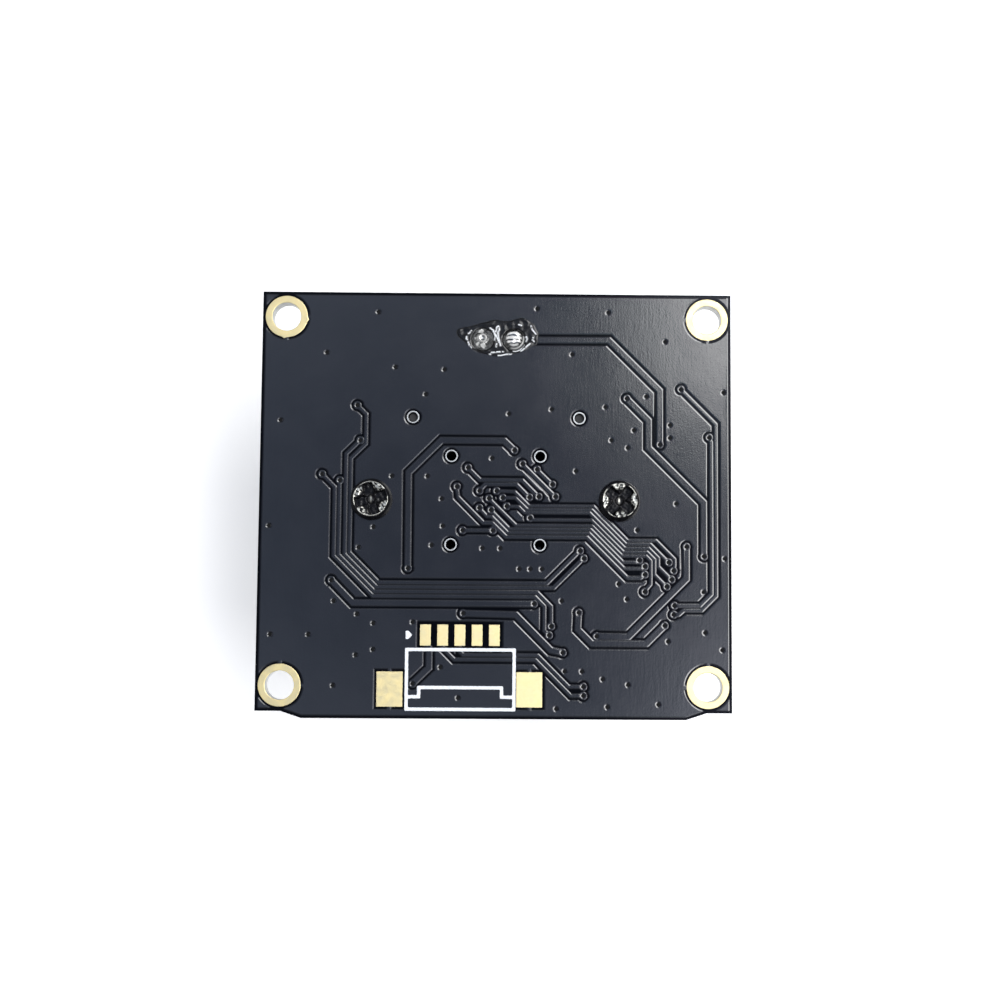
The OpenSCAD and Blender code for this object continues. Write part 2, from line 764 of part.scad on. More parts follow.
module controller_body() {
    bevel = 0.08;
    color([0.1, 0.1, 0.11])
        on_front(controller_at)
            difference() {
                translate([-controller_w / 2, -controller_w / 2, 0])
                    cube([controller_w, controller_w, controller_h]);
                translate([-controller_w / 2 + 0.7, -controller_w / 2 + 0.7, controller_h - bevel])
                    cylinder(d = 0.6, h = 1);
            }
}

// Soldered edge contacts, the same number on all four sides
module controller_contacts() {
    color("silver")
        on_front(controller_at)
            for (side = [0:90:270], i = [0:controller_n - 1])
                rotate(side)
                    translate([controller_w / 2, (i - (controller_n - 1) / 2) * controller_pitch - 0.1, 0])
                        cube([0.3, 0.2, 0.15]);
}

// Gull wing lead: foot on the board, riser, and shoulder into the body at x = 0
module gull_lead(w, reach, h) {
    t = 0.15;
    foot = 0.55;
    translate([0, w / 2, 0])
        rotate([90, 0, 0])
            linear_extrude(w)
                polygon([[0, h + t / 2], [reach - foot + t, h + t / 2], [reach - foot + t, t], [reach, t],
                    [reach, 0], [reach - foot, 0], [reach - foot, h - t / 2], [0, h - t / 2]]);
}

module flash_memory_body() {
    color([0.1, 0.1, 0.11])
        on_front(flash_at)
            difference() {
                translate([-1.95, -2.45, 0.1])
                    cube([3.9, 4.9, 1.45]);
                translate([-1.35, -1.8, 1.45])
                    cylinder(d = 0.6, h = 1);
            }
}

module flash_memory_leads() {
    color("silver")
        on_front(flash_at)
            for (side = [0, 180], i = [0:3])
                rotate(side)
                    translate([1.95, (i - 1.5) * 1.27, 0])
                        gull_lead(0.4, 1.05, 0.75);
}

module regulator_bodies() {
    color([0.1, 0.1, 0.11])
        for (p = regulator_at)
            on_front(p)
                translate([-1.45, -0.8, 0.05])
                    cube([2.9, 1.6, 1.1]);
}

// Three leads on one side and two on the other
module regulator_leads() {
    color("silver")
        for (p = regulator_at)
            on_front(p)
                for (side = [90, 270], i = side == 90 ? [-1, 0, 1] : [-1, 1])
                    rotate(side)
                        translate([0.8, i * 0.95, 0])
                            gull_lead(0.4, 0.6, 0.55);
}

module crystal_base() {
    color([0.85, 0.8, 0.7])
        on_front(crystal_at)
            translate([-1.6, -1.25, 0])
                cube([3.2, 2.5, 0.4]);
}

module crystal_lid() {
    color("silver")
        on_front(crystal_at)
            translate([-1.4, -1.05, 0.4])
                cube([2.8, 2.1, 0.35]);
}

module power_inductor() {
    color([0.25, 0.25, 0.26])
        on_front(inductor_at)
            difference() {
                linear_extrude(1.4)
                    polygon([[-1.5, -1], [-1, -1.5], [1, -1.5], [1.5, -1], [1.5, 1], [1, 1.5], [-1, 1.5],
                        [-1.5, 1]]);
                translate([0, 0, 1.2])
                    ring(2.5, 1.9, 1);
            }
}

module chip_middle(l, w, h) {
    translate([-l / 2 + terminal, -w / 2, 0])
        cube([l - 2 * terminal, w, h]);
}

module chip_terminals(l, w, h) {
    for (x = [-l / 2, l / 2 - terminal])
        translate([x, -w / 2, 0])
            cube([terminal, w, h]);
}

module capacitor_bodies() {
    color([0.72, 0.6, 0.45])
        for (p = capacitor_at)
            on_front(p, p[2])
                chip_middle(cap_l, cap_w, cap_h);
}

module resistor_bodies() {
    color([0.1, 0.1, 0.1])
        for (p = resistor_at)
            on_front(p, p[2])
                chip_middle(res_l, res_w, res_h);
}

module chip_end_caps() {
    color("silver") {
        for (p = capacitor_at)
            on_front(p, p[2])
                chip_terminals(cap_l, cap_w, cap_h);
        for (p = resistor_at)
            on_front(p, p[2])
                chip_terminals(res_l, res_w, res_h);
    }
}

// ---- Cable connector on the lens side ----

housing_w = 2 * (anchor_x - anchor_w / 2) - 0.25;
housing_back = pad_row - pad_l / 2 - 0.2;
housing_l = housing_back - lower_edge - 0.6;
housing_wall = 0.6;
contact_h = 1.5;

// The mating opening faces the lower edge of the board
module connector_housing() {
    back_wall = 1;
    color("ivory")
        on_front([conn_x, housing_back])
            difference() {
                translate([-housing_w / 2, 0, 0])
                    cube([housing_w, housing_l, housing_h]);
                translate([-housing_w / 2 + housing_wall, back_wall, housing_wall])
                    cube([housing_w - 2 * housing_wall, housing_l, housing_h - 2 * housing_wall]);
                for (p = pad_at)
                    translate([p.x - conn_x - 0.17, -eps, contact_h - 0.17])
                        cube([0.34, back_wall + 2 * eps, 0.34]);
                for (sx = [-1, 1])
                    translate([sx * (housing_w / 2 - 1.6) - 0.5, housing_l - 1.6, housing_h - housing_wall - eps])
                        cube([1, 1.2, housing_wall + 2 * eps]);
            }
}

// Bent pins: the tail lies on its pad and the blade stands in the housing
module connector_contacts() {
    pin = 0.3;
    tail = pad_l / 2 + 0.1;
    blade = housing_l - 0.8;
    color("silver")
        for (p = pad_at)
            on_front([p.x, housing_back])
                translate([-pin / 2, 0, 0])
                    rotate([90, 0, 90])
                        linear_extrude(pin)
                            polygon([[-tail, 0], [-0.35, 0], [-0.35, contact_h - pin / 2],
                                [blade, contact_h - pin / 2], [blade, contact_h + pin / 2],
                                [-0.65, contact_h + pin / 2], [-0.65, pin], [-tail, pin]]);
}

// Angle tabs: one leg lies on the anchor pad, the other stands against the housing
module connector_anchor_tabs() {
    t = 0.25;
    wide = anchor_w - 0.5;
    color("silver")
        for (sx = [-1, 1])
            on_front([conn_x + sx * housing_w / 2, anchor_row])
                translate([0, anchor_l / 2 - 0.3, 0])
                    rotate([90, 0, 0])
                        linear_extrude(anchor_l - 0.6)
                            polygon([[0, 0], [sx * wide, 0], [sx * wide, t], [sx * t, t], [sx * t, 2], [0, 2]]);
}

// ---- Microphone ----

module microphone_can() {
    rim = 0.35;
    color("silver")
        on_front(mic_at)
            rotate_extrude()
                polygon([[mic_d / 2 - rim, 0.15], [mic_d / 2 - 0.15, 0.15], [mic_d / 2, 0.3],
                    [mic_d / 2, mic_h - 0.25], [mic_d / 2 - 0.25, mic_h], [1, mic_h], [1, mic_h - 0.3],
                    [mic_d / 2 - rim, mic_h - 0.3]]);
}

module microphone_base() {
    color("darkgreen")
        on_front(mic_at)
            difference() {
                cylinder(d = mic_d - 0.7, h = 0.5);
                for (p = lead_at)
                    translate([p.x - mic_at.x, mic_at.y - p.y, -eps])
                        cylinder(d = lead_d, h = 1.5);
            }
}

module microphone_felt() {
    color([0.08, 0.08, 0.08])
        on_front(mic_at)
            translate([0, 0, mic_h])
                cylinder(d = mic_d - 1, h = 0.2);
}

// Leads that run through the board and stand out of the solder
module microphone_leads() {
    color("silver")
        for (p = lead_at)
            translate([p.x, p.y, -board_t - 0.5])
                cylinder(d = lead_d, h = board_t + 0.5 + joint_h + 0.15);
}

// Solder fillet round a lead, with the plug that it leaves in the hole
module solder_joint(belly) {
    rotate_extrude()
        polygon([[lead_d / 2, joint_h], [lead_d / 2 + 0.1, joint_h - 0.02], [belly, joint_h * 0.78],
            [joint_r - 0.1, joint_h * 0.42], [joint_r, 0.1], [joint_r, 0], [lead_hole_d / 2, 0],
            [lead_hole_d / 2, -0.6], [lead_d / 2, -0.6]]);
}

module solder_joint_left() {
    color("silver")
        translate(lead_at[0])
            solder_joint(0.5);
}

module solder_joint_right() {
    color("silver")
        translate(lead_at[1])
            solder_joint(0.62);
}

// Glossy pool of flux that dried round both joints
module flux_residue() {
    color([0.12, 0.11, 0.1])
        translate([mic_at.x, mic_at.y, copper_t])
            linear_extrude(0.1)
                difference() {
                    offset(r = 0.25, $fn = 24)
                        offset(delta = -0.25)
                            polygon([[-3.2, 0.75], [-1.7, 1.1], [-0.4, 1.5], [0.8, 1.4], [1.8, 1.7],
                                [2.6, 1.2], [3, 0.5], [2.9, -0.3], [2, -0.8], [0.9, -1.15], [-0.1, -1.3],
                                [-1, -1.1], [-2, -0.7], [-2.5, -0.2], [-3, 0.2]]);
                    for (p = lead_at)
                        translate(p - mic_at)
                            circle(joint_r);
                }
}

pcb();
back_copper();
mounting_hole_plating();
small_hole_plating();
connector_pads();
anchor_pads();
connector_legend();
pin_one_mark();
lens_mount();
lens_mount_screws();
ir_cut_filter();
lens_barrel();
front_lens_element();
aperture_stop();
middle_lens_element();
lens_spacers();
rear_lens_element();
lens_retaining_ring();
thread_lock_beads();
image_sensor();
sensor_cover_glass();
controller_body();
controller_contacts();
flash_memory_body();
flash_memory_leads();
regulator_bodies();
regulator_leads();
crystal_base();
crystal_lid();
power_inductor();
capacitor_bodies();
resistor_bodies();
chip_end_caps();
connector_housing();
connector_contacts();
connector_anchor_tabs();
microphone_can();
microphone_base();
microphone_felt();
microphone_leads();
solder_joint_left();
solder_joint_right();
flux_residue();
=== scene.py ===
"""Looks of a board camera module: solder mask over etched copper, gold, ink, solder, screws and lens.

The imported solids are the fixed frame. The classes below dress them, or lay finer meshes over them.
Lengths are in millimetres inside the classes and in metres in Blender.
"""

from __future__ import annotations

import logging
import math
from dataclasses import dataclass, field
from enum import Enum
from typing import Callable, ClassVar, Sequence

import bpy
import numpy as np
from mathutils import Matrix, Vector
from mathutils.geometry import delaunay_2d_cdt


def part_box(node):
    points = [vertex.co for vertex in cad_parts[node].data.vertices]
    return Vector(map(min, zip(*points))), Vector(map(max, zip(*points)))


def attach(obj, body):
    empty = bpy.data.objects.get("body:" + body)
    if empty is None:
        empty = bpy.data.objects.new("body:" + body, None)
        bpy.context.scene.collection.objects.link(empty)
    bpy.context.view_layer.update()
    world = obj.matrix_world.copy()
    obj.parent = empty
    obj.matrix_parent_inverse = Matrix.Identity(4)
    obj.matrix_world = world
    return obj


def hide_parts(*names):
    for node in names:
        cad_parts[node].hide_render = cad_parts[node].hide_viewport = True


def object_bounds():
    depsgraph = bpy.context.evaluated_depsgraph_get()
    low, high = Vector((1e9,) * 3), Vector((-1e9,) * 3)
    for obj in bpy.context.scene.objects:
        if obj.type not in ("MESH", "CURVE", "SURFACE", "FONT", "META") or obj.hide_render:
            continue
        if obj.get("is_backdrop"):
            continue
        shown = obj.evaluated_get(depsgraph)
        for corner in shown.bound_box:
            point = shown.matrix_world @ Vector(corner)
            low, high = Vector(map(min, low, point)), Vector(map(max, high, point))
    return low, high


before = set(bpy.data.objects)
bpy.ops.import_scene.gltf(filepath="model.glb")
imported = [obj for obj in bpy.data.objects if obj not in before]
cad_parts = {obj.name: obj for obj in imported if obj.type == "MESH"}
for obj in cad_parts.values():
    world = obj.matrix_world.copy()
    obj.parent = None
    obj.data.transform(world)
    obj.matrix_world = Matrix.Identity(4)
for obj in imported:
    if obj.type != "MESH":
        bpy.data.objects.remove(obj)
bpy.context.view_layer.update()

LOG = logging.getLogger("camera_module")
MM = 0.001
Color = tuple[float, float, float]
Points = np.ndarray
Tree = bpy.types.NodeTree
Socket = bpy.types.NodeSocket


# ---------------------------------------------------------------- nodes


def feed(tree: Tree, node: bpy.types.Node, feeds: dict[str | int, object]) -> None:
    """Sets or links the inputs of a node.

    Args:
        tree: The nodes that it belongs to.
        node: The node.
        feeds: What goes into each input. A socket is linked and a value is set.
    """
    for name, value in feeds.items():
        if isinstance(value, bpy.types.NodeSocket):
            tree.links.new(value, node.inputs[name])
        else:
            node.inputs[name].default_value = value


def add_node(
    tree: Tree, kind: str, feeds: dict[str | int, object], out: str | int = 0, **settings: str
) -> Socket:
    """Adds a node.

    Args:
        tree: The nodes of a material or of the room.
        kind: The kind of node, without its prefix.
        feeds: What goes into each input.
        out: The output to give back.
        settings: Settings of the node, such as its operation.

    Returns:
        The output.
    """
    node = tree.nodes.new("ShaderNode" + kind)
    for name, value in settings.items():
        setattr(node, name, value)
    feed(tree, node, feeds)
    return node.outputs[out]


def grey(value: float) -> tuple[float, float, float, float]:
    """The colour that stands for a plain value."""
    return (value, value, value, 1.0)


# ---------------------------------------------------------------- finishes


class Grain(Enum):
    """How the fine relief of a finish runs."""

    EVEN = (1.0, 1.0, 1.0)
    ALONG_X = (0.12, 1.0, 1.0)
    TURNED = (0.05, 0.05, 1.0)


@dataclass(frozen=True)
class Finish:
    """One procedural finish: two colours in patches, roughness in patches, and fine relief.

    Sizes are in millimetres. A clear finish lets light through.
    """

    name: str
    color: Color
    color_2: Color
    roughness: float
    roughness_2: float
    metallic: float = 0.0
    patch_mm: float = 1.0
    bump_mm: float = 0.004
    bump_size_mm: float = 0.08
    grain: Grain = Grain.EVEN
    ior: float = 1.5
    coat: float = 0.0
    coat_roughness: float = 0.05
    transmission: float = 0.0

    made: ClassVar[dict[str, bpy.types.Material]] = {}

    def material(self) -> bpy.types.Material:
        """Gives the Blender material, which is built once.

        Returns:
            The material.
        """
        if self.name not in self.made:
            self.made[self.name] = self.build()
        return self.made[self.name]

    def build(self) -> bpy.types.Material:
        """Makes the nodes of the finish.

        Returns:
            The new material.
        """
        material = bpy.data.materials.new(self.name)
        material.use_nodes = True
        tree = material.node_tree
        place = add_node(tree, "TexCoord", {}, "Object")
        patches = self.noise(tree, place, self.patch_mm, 3.0)
        height = self.relief(tree, place)
        bump = {"Strength": 1.0, "Distance": self.bump_mm * MM, "Height": height}
        feeds = {
            "Base Color": self.ramp(tree, patches, (*self.color, 1.0), (*self.color_2, 1.0)),
            "Roughness": self.ramp(tree, patches, grey(self.roughness), grey(self.roughness_2)),
            "Metallic": self.metallic,
            "IOR": self.ior,
            "Coat Weight": self.coat,
            "Coat Roughness": self.coat_roughness,
            "Transmission Weight": self.transmission,
            "Normal": add_node(tree, "Bump", bump, "Normal"),
        }
        feed(tree, tree.nodes["Principled BSDF"], feeds)
        return material

    def relief(self, tree: Tree, place: Socket) -> Socket:
        """The height that the bump of the finish reads.

        Args:
            tree: The material's nodes.
            place: Where the surface lies.

        Returns:
            The socket that holds the height.
        """
        return self.noise(tree, self.stretched(tree, place, self.grain.value), self.bump_size_mm, 4.0)

    @staticmethod
    def stretched(tree: Tree, place: Socket, shares: Color) -> Socket:
        """Places that lie closer together along some axes.

        Args:
            tree: The material's nodes.
            place: Where the surface lies.
            shares: Share of the distance that is left along each axis.

        Returns:
            The new place.
        """
        return add_node(tree, "VectorMath", {0: place, 1: shares}, operation="MULTIPLY")

    @staticmethod
    def noise(tree: Tree, place: Socket, size_mm: float, detail: float) -> Socket:
        """Noise with features of the given size.

        Args:
            tree: The material's nodes.
            place: Where the surface lies.
            size_mm: Size of the features.
            detail: Octaves.

        Returns:
            The noise value.
        """
        feeds = {"Vector": place, "Scale": 1.0 / (size_mm * MM), "Detail": detail}
        return add_node(tree, "TexNoise", feeds, "Fac")

    @staticmethod
    def ramp(tree: Tree, value: Socket, low: Sequence[float], high: Sequence[float]) -> Socket:
        """Blend of two colours over the middle of a noise value.

        Args:
            tree: The material's nodes.
            value: What the blend reads.
            low: Colour below the middle.
            high: Colour above the middle.

        Returns:
            The blended colour.
        """
        color = add_node(tree, "ValToRGB", {"Fac": value}, "Color")
        for end, position, tone in zip(color.node.color_ramp.elements, (0.35, 0.65), (low, high)):
            end.position = position
            end.color = tone
        return color


@dataclass(frozen=True)
class SolderMask(Finish):
    """Black glossy mask that lets the weave of the laminate show as faint streaks."""

    streak_mm: float = 0.16
    wave_mm: float = 1.6
    # Painted shade: how far the shine of the grooves beside the copper is dulled to black.
    dull: float = 0.94

    def build(self) -> bpy.types.Material:
        """Makes the nodes and paints shade into the grooves by dulling the shine where the piece's stored
        value is high.

        A metal mirrors only as much as its own colour, so a metallic share makes black mask dull.

        Returns:
            The new material.
        """
        material = super().build()
        tree = material.node_tree
        wear_and_painted_light = add_node(tree, "Attribute", {}, "Fac", attribute_name="wear_and_painted_light")
        share = add_node(tree, "MapRange", {"Value": wear_and_painted_light, "To Max": self.dull}, "Result")
        feed(tree, tree.nodes["Principled BSDF"], {"Metallic": share})
        return material

    def relief(self, tree: Tree, place: Socket) -> Socket:
        """Streaks along Y, long waves and a little dust grain.

        Args:
            tree: The material's nodes.
            place: Where the surface lies.

        Returns:
            The socket that holds the height.
        """
        streaks = self.noise(tree, self.stretched(tree, place, (1.0, 0.14, 1.0)), self.streak_mm, 2.0)
        waves = self.noise(tree, place, self.wave_mm, 1.0)
        grain = self.noise(tree, place, self.bump_size_mm, 1.0)
        return self.sum(tree, ((streaks, 0.35), (waves, 0.6), (grain, 0.4)))

    @staticmethod
    def sum(tree: Tree, heights: Sequence[tuple[Socket, float]]) -> Socket:
        """Adds heights, each times its share.

        Args:
            tree: The material's nodes.
            heights: Each height with its share.

        Returns:
            The sum.
        """
        first, share = heights[0]
        total = add_node(tree, "Math", {0: first, 1: share}, operation="MULTIPLY")
        for height, share in heights[1:]:
            total = add_node(tree, "Math", {0: height, 1: share, 2: total}, operation="MULTIPLY_ADD")
        return total


@dataclass(frozen=True)
class WearAndHighlightFinish(Finish):
    """A finish that gives way to a brighter one where the piece's stored value is high: worn steel on the
    screws, painted highlight on the solder, the flux crests and the screws' ridges.
    """

    # The bright tone: bare steel where the screws are worn, painted highlight on the solder and the flux.
    bare: Color = (0.8, 0.8, 0.8)
    wear_and_highlight_roughness: float = 0.3
    wear_and_highlight_metallic: float = 1.0

    def build(self) -> bpy.types.Material:
        """Makes the nodes and blends the bright finish in, which is worn steel and painted highlight.

        Returns:
            The new material.
        """
        material = super().build()
        tree = material.node_tree
        shader = tree.nodes["Principled BSDF"]
        wear_and_painted_light = add_node(tree, "Attribute", {}, "Fac", attribute_name="wear_and_painted_light")
        shares = {"Base Color": (*self.bare, 1.0), "Roughness": grey(self.wear_and_highlight_roughness)}
        if self.wear_and_highlight_metallic != self.metallic:
            shares["Metallic"] = grey(self.wear_and_highlight_metallic)
        for name, bare in shares.items():
            old = shader.inputs[name]
            plain = old.links[0].from_socket if old.is_linked else grey(old.default_value)
            feeds = {"Factor": wear_and_painted_light, "A": plain, "B": bare}
            feed(tree, shader, {name: add_node(tree, "Mix", feeds, "Result", data_type="RGBA")})
        return material


MASK = SolderMask(
    "black_solder_mask", (0.0035, 0.004, 0.006), (0.005, 0.0055, 0.008), 0.12, 0.15,
    patch_mm=3.0, bump_mm=0.006, bump_size_mm=0.09, ior=1.8,
)
LAMINATE = Finish(
    "laminate_edge", (0.004, 0.0045, 0.0055), (0.008, 0.008, 0.008), 0.5, 0.7,
    ior=1.2, patch_mm=0.15, bump_mm=0.006, bump_size_mm=0.05, grain=Grain.ALONG_X,
)
GOLD = Finish(
    "immersion_gold", (0.97, 0.83, 0.47), (0.92, 0.77, 0.40), 0.34, 0.46,
    metallic=1.0, patch_mm=0.5, bump_mm=0.003, bump_size_mm=0.05,
)
PALE_GOLD = Finish(
    "worn_plating", (0.60, 0.61, 0.60), (0.48, 0.49, 0.49), 0.34, 0.46,
    metallic=1.0, patch_mm=0.3, bump_mm=0.003, bump_size_mm=0.05,
)
BARREL = Finish(
    "tinned_barrel", (0.74, 0.74, 0.71), (0.62, 0.62, 0.60), 0.4, 0.6,
    metallic=0.2, patch_mm=0.3, bump_mm=0.006, bump_size_mm=0.08,
)
DARK_BARREL = Finish(
    "shaded_barrel", (0.010, 0.010, 0.010), (0.018, 0.017, 0.015), 0.6, 0.8,
    ior=1.2, patch_mm=0.3, bump_mm=0.006, bump_size_mm=0.08,
)
INK = Finish(
    "white_legend_ink", (0.89, 0.91, 0.94), (0.80, 0.83, 0.87), 0.5, 0.65,
    patch_mm=0.2, bump_mm=0.008, bump_size_mm=0.06,
)
# Black zinc whose bright tone is worn steel, and on the ridge of each screw also a painted highlight.
BLACK_ZINC = WearAndHighlightFinish(
    "black_zinc", (0.004, 0.004, 0.005), (0.008, 0.008, 0.010), 0.18, 0.30,
    ior=1.28, patch_mm=0.4, bump_mm=0.0015, bump_size_mm=0.09,
    bare=(0.66, 0.65, 0.58), wear_and_highlight_roughness=0.3,
)
# Solder whose bright tone is painted highlight.
SOLDER = WearAndHighlightFinish(
    "solder", (0.30, 0.30, 0.29), (0.16, 0.16, 0.16), 0.2, 0.32,
    metallic=1.0, patch_mm=0.25, bump_mm=0.004, bump_size_mm=0.12,
    bare=(0.90, 0.89, 0.85), wear_and_highlight_roughness=0.3, wear_and_highlight_metallic=0.4,
)
# Flux whose pale tone is painted highlight along the crests of its wrinkles.
FLUX = WearAndHighlightFinish(
    "dried_flux", (0.003, 0.003, 0.003), (0.007, 0.006, 0.005), 0.08, 0.16,
    patch_mm=0.4, bump_mm=0.006, bump_size_mm=0.16,
    bare=(0.86, 0.88, 0.90), wear_and_highlight_roughness=0.35, wear_and_highlight_metallic=0.0,
)
TIN = Finish(
    "tinned_metal", (0.62, 0.62, 0.61), (0.50, 0.50, 0.50), 0.25, 0.4,
    metallic=1.0, patch_mm=0.3, bump_mm=0.004, bump_size_mm=0.06,
)
MOUNT_PLASTIC = Finish(
    "spark_eroded_plastic", (0.014, 0.014, 0.015), (0.022, 0.022, 0.023), 0.5, 0.62,
    patch_mm=1.2, bump_mm=0.010, bump_size_mm=0.07,
)
ANODISED = Finish(
    "black_anodised", (0.020, 0.020, 0.022), (0.030, 0.030, 0.033), 0.3, 0.4,
    metallic=0.6, patch_mm=0.8, bump_mm=0.003, bump_size_mm=0.05, grain=Grain.TURNED,
)
STOP_PAINT = Finish(
    "stop_black", (0.006, 0.006, 0.006), (0.010, 0.010, 0.010), 0.7, 0.85,
    patch_mm=0.5, bump_mm=0.004, bump_size_mm=0.05,
)
GLASS = Finish(
    "coated_glass", (0.97, 0.98, 1.0), (0.93, 0.95, 1.0), 0.0, 0.02,
    patch_mm=4.0, bump_mm=0.0, bump_size_mm=1.0, ior=1.6, transmission=1.0, coat=0.3,
)
FILTER_GLASS = Finish(
    "dichroic_filter", (0.75, 0.35, 0.45), (0.70, 0.30, 0.50), 0.02, 0.04,
    patch_mm=5.0, bump_mm=0.0, bump_size_mm=1.0, transmission=0.9,
)
RESIN = Finish(
    "moulding_epoxy", (0.018, 0.018, 0.019), (0.028, 0.028, 0.029), 0.45, 0.6,
    patch_mm=0.6, bump_mm=0.006, bump_size_mm=0.05,
)
NYLON = Finish(
    "natural_nylon", (0.78, 0.74, 0.62), (0.72, 0.67, 0.54), 0.4, 0.5,
    patch_mm=1.5, bump_mm=0.005, bump_size_mm=0.08,
)
CERAMIC = Finish(
    "capacitor_ceramic", (0.36, 0.24, 0.14), (0.30, 0.19, 0.10), 0.4, 0.55,
    patch_mm=0.2, bump_mm=0.004, bump_size_mm=0.04,
)
ALUMINA = Finish(
    "crystal_ceramic", (0.40, 0.33, 0.20), (0.34, 0.27, 0.16), 0.45, 0.6,
    patch_mm=0.3, bump_mm=0.004, bump_size_mm=0.04,
)
GLAZE = Finish(
    "resistor_glaze", (0.010, 0.010, 0.012), (0.016, 0.016, 0.018), 0.2, 0.3,
    patch_mm=0.2, bump_mm=0.004, bump_size_mm=0.05,
)
FERRITE = Finish(
    "ferrite", (0.05, 0.05, 0.053), (0.075, 0.074, 0.076), 0.45, 0.6,
    patch_mm=0.3, bump_mm=0.008, bump_size_mm=0.06,
)
SATIN_ALLOY = Finish(
    "drawn_aluminium", (0.72, 0.72, 0.73), (0.64, 0.64, 0.66), 0.3, 0.4,
    metallic=1.0, patch_mm=0.6, bump_mm=0.004, bump_size_mm=0.06,
)
GREEN_MASK = Finish(
    "green_mask", (0.01, 0.09, 0.035), (0.012, 0.11, 0.04), 0.2, 0.3,
    patch_mm=0.6, bump_mm=0.004, bump_size_mm=0.06,
)
FELT = Finish(
    "felt", (0.010, 0.010, 0.010), (0.025, 0.024, 0.023), 0.9, 1.0,
    patch_mm=0.12, bump_mm=0.05, bump_size_mm=0.05,
)
LOCK_RESIN = Finish(
    "thread_lock", (0.75, 0.73, 0.60), (0.68, 0.65, 0.50), 0.15, 0.25,
    patch_mm=0.3, bump_mm=0.01, bump_size_mm=0.15, coat=0.5,
)
DIE = Finish(
    "sensor_package", (0.03, 0.04, 0.035), (0.05, 0.055, 0.05), 0.3, 0.4,
    patch_mm=0.3, bump_mm=0.002, bump_size_mm=0.05,
)

NODES_OF_FINISH: dict[Finish, tuple[str, ...]] = {
    LAMINATE: ("pcb",),
    MASK: ("back_copper",),
    GOLD: ("mounting_hole_plating", "connector_pads", "anchor_pads"),
    PALE_GOLD: ("small_hole_plating",),
    INK: ("connector_legend", "pin_one_mark"),
    MOUNT_PLASTIC: ("lens_mount",),
    BLACK_ZINC: ("lens_mount_screws",),
    FILTER_GLASS: ("ir_cut_filter",),
    ANODISED: ("lens_barrel", "lens_spacers", "lens_retaining_ring"),
    GLASS: ("front_lens_element", "middle_lens_element", "rear_lens_element", "sensor_cover_glass"),
    STOP_PAINT: ("aperture_stop",),
    LOCK_RESIN: ("thread_lock_beads",),
    DIE: ("image_sensor",),
    RESIN: ("controller_body", "flash_memory_body", "regulator_bodies"),
    TIN: (
        "controller_contacts", "flash_memory_leads", "regulator_leads", "crystal_lid", "chip_end_caps",
        "connector_contacts", "connector_anchor_tabs", "microphone_leads",
    ),
    ALUMINA: ("crystal_base",),
    FERRITE: ("power_inductor",),
    CERAMIC: ("capacitor_bodies",),
    GLAZE: ("resistor_bodies",),
    NYLON: ("connector_housing",),
    SATIN_ALLOY: ("microphone_can",),
    GREEN_MASK: ("microphone_base",),
    FELT: ("microphone_felt",),
    SOLDER: ("solder_joint_left", "solder_joint_right"),
    FLUX: ("flux_residue",),
}


# ---------------------------------------------------------------- outlines and terrain


def smooth(t: Points) -> Points:
    """Soft step from 0 to 1."""
    t = np.clip(t, 0.0, 1.0)
    return t * t * (3.0 - 2.0 * t)


def smooth_slope(t: Points) -> Points:
    """Slope of the soft step."""
    t = np.clip(t, 0.0, 1.0)
    return 6.0 * t * (1.0 - t)


def ripple(points: Points, size: float, seed: int) -> Points:
    """Smooth random waves between about -1 and 1.

    Args:
        points: Points in the plane.
        size: Usual length of a wave.
        seed: Picks the waves.

    Returns:
        The height of the waves at each point.
    """
    source = np.random.default_rng(seed)
    turn, shift = source.uniform(0.0, 2.0 * math.pi, (2, 11))
    pace = 2.0 * math.pi / size * source.uniform(0.6, 1.6, 11)
    phase = points @ np.stack([np.cos(turn), np.sin(turn)]) * pace + shift
    return np.sin(phase).sum(axis=1) / 4.5


def circle(steps: int) -> Points:
    """Points round a circle of radius 1 about the origin."""
    turn = np.linspace(0.0, 2.0 * math.pi, steps, endpoint=False)
    return np.column_stack([np.cos(turn), np.sin(turn)])


def middle_of(node: str) -> Points:
    """Middle of a node in the plane, in millimetres."""
    low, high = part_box(node)
    return np.array([low.x + high.x, low.y + high.y]) / 2.0 / MM


def upright(rise: Points) -> Points:
    """Unit normals of a surface.

    Args:
        rise: Its slope along X and Y at each point.

    Returns:
        The normal at each point.
    """
    normals = np.column_stack([-rise, np.ones(len(rise))])
    return normals / np.linalg.norm(normals, axis=1, keepdims=True)


def new_piece(name: str, places: Points, faces: Sequence[Sequence[int]]) -> bpy.types.Object:
    """Makes a smooth mesh and puts it into the scene.

    Args:
        name: Name of the piece.
        places: Its vertices, in millimetres.
        faces: The vertices of each face.

    Returns:
        The new object, in metres.
    """
    mesh = bpy.data.meshes.new(name)
    mesh.from_pydata((places * MM).tolist(), [], faces)
    mesh.polygons.foreach_set("use_smooth", [True] * len(mesh.polygons))
    mesh.update()
    piece = bpy.data.objects.new(name, mesh)
    bpy.context.scene.collection.objects.link(piece)
    return piece


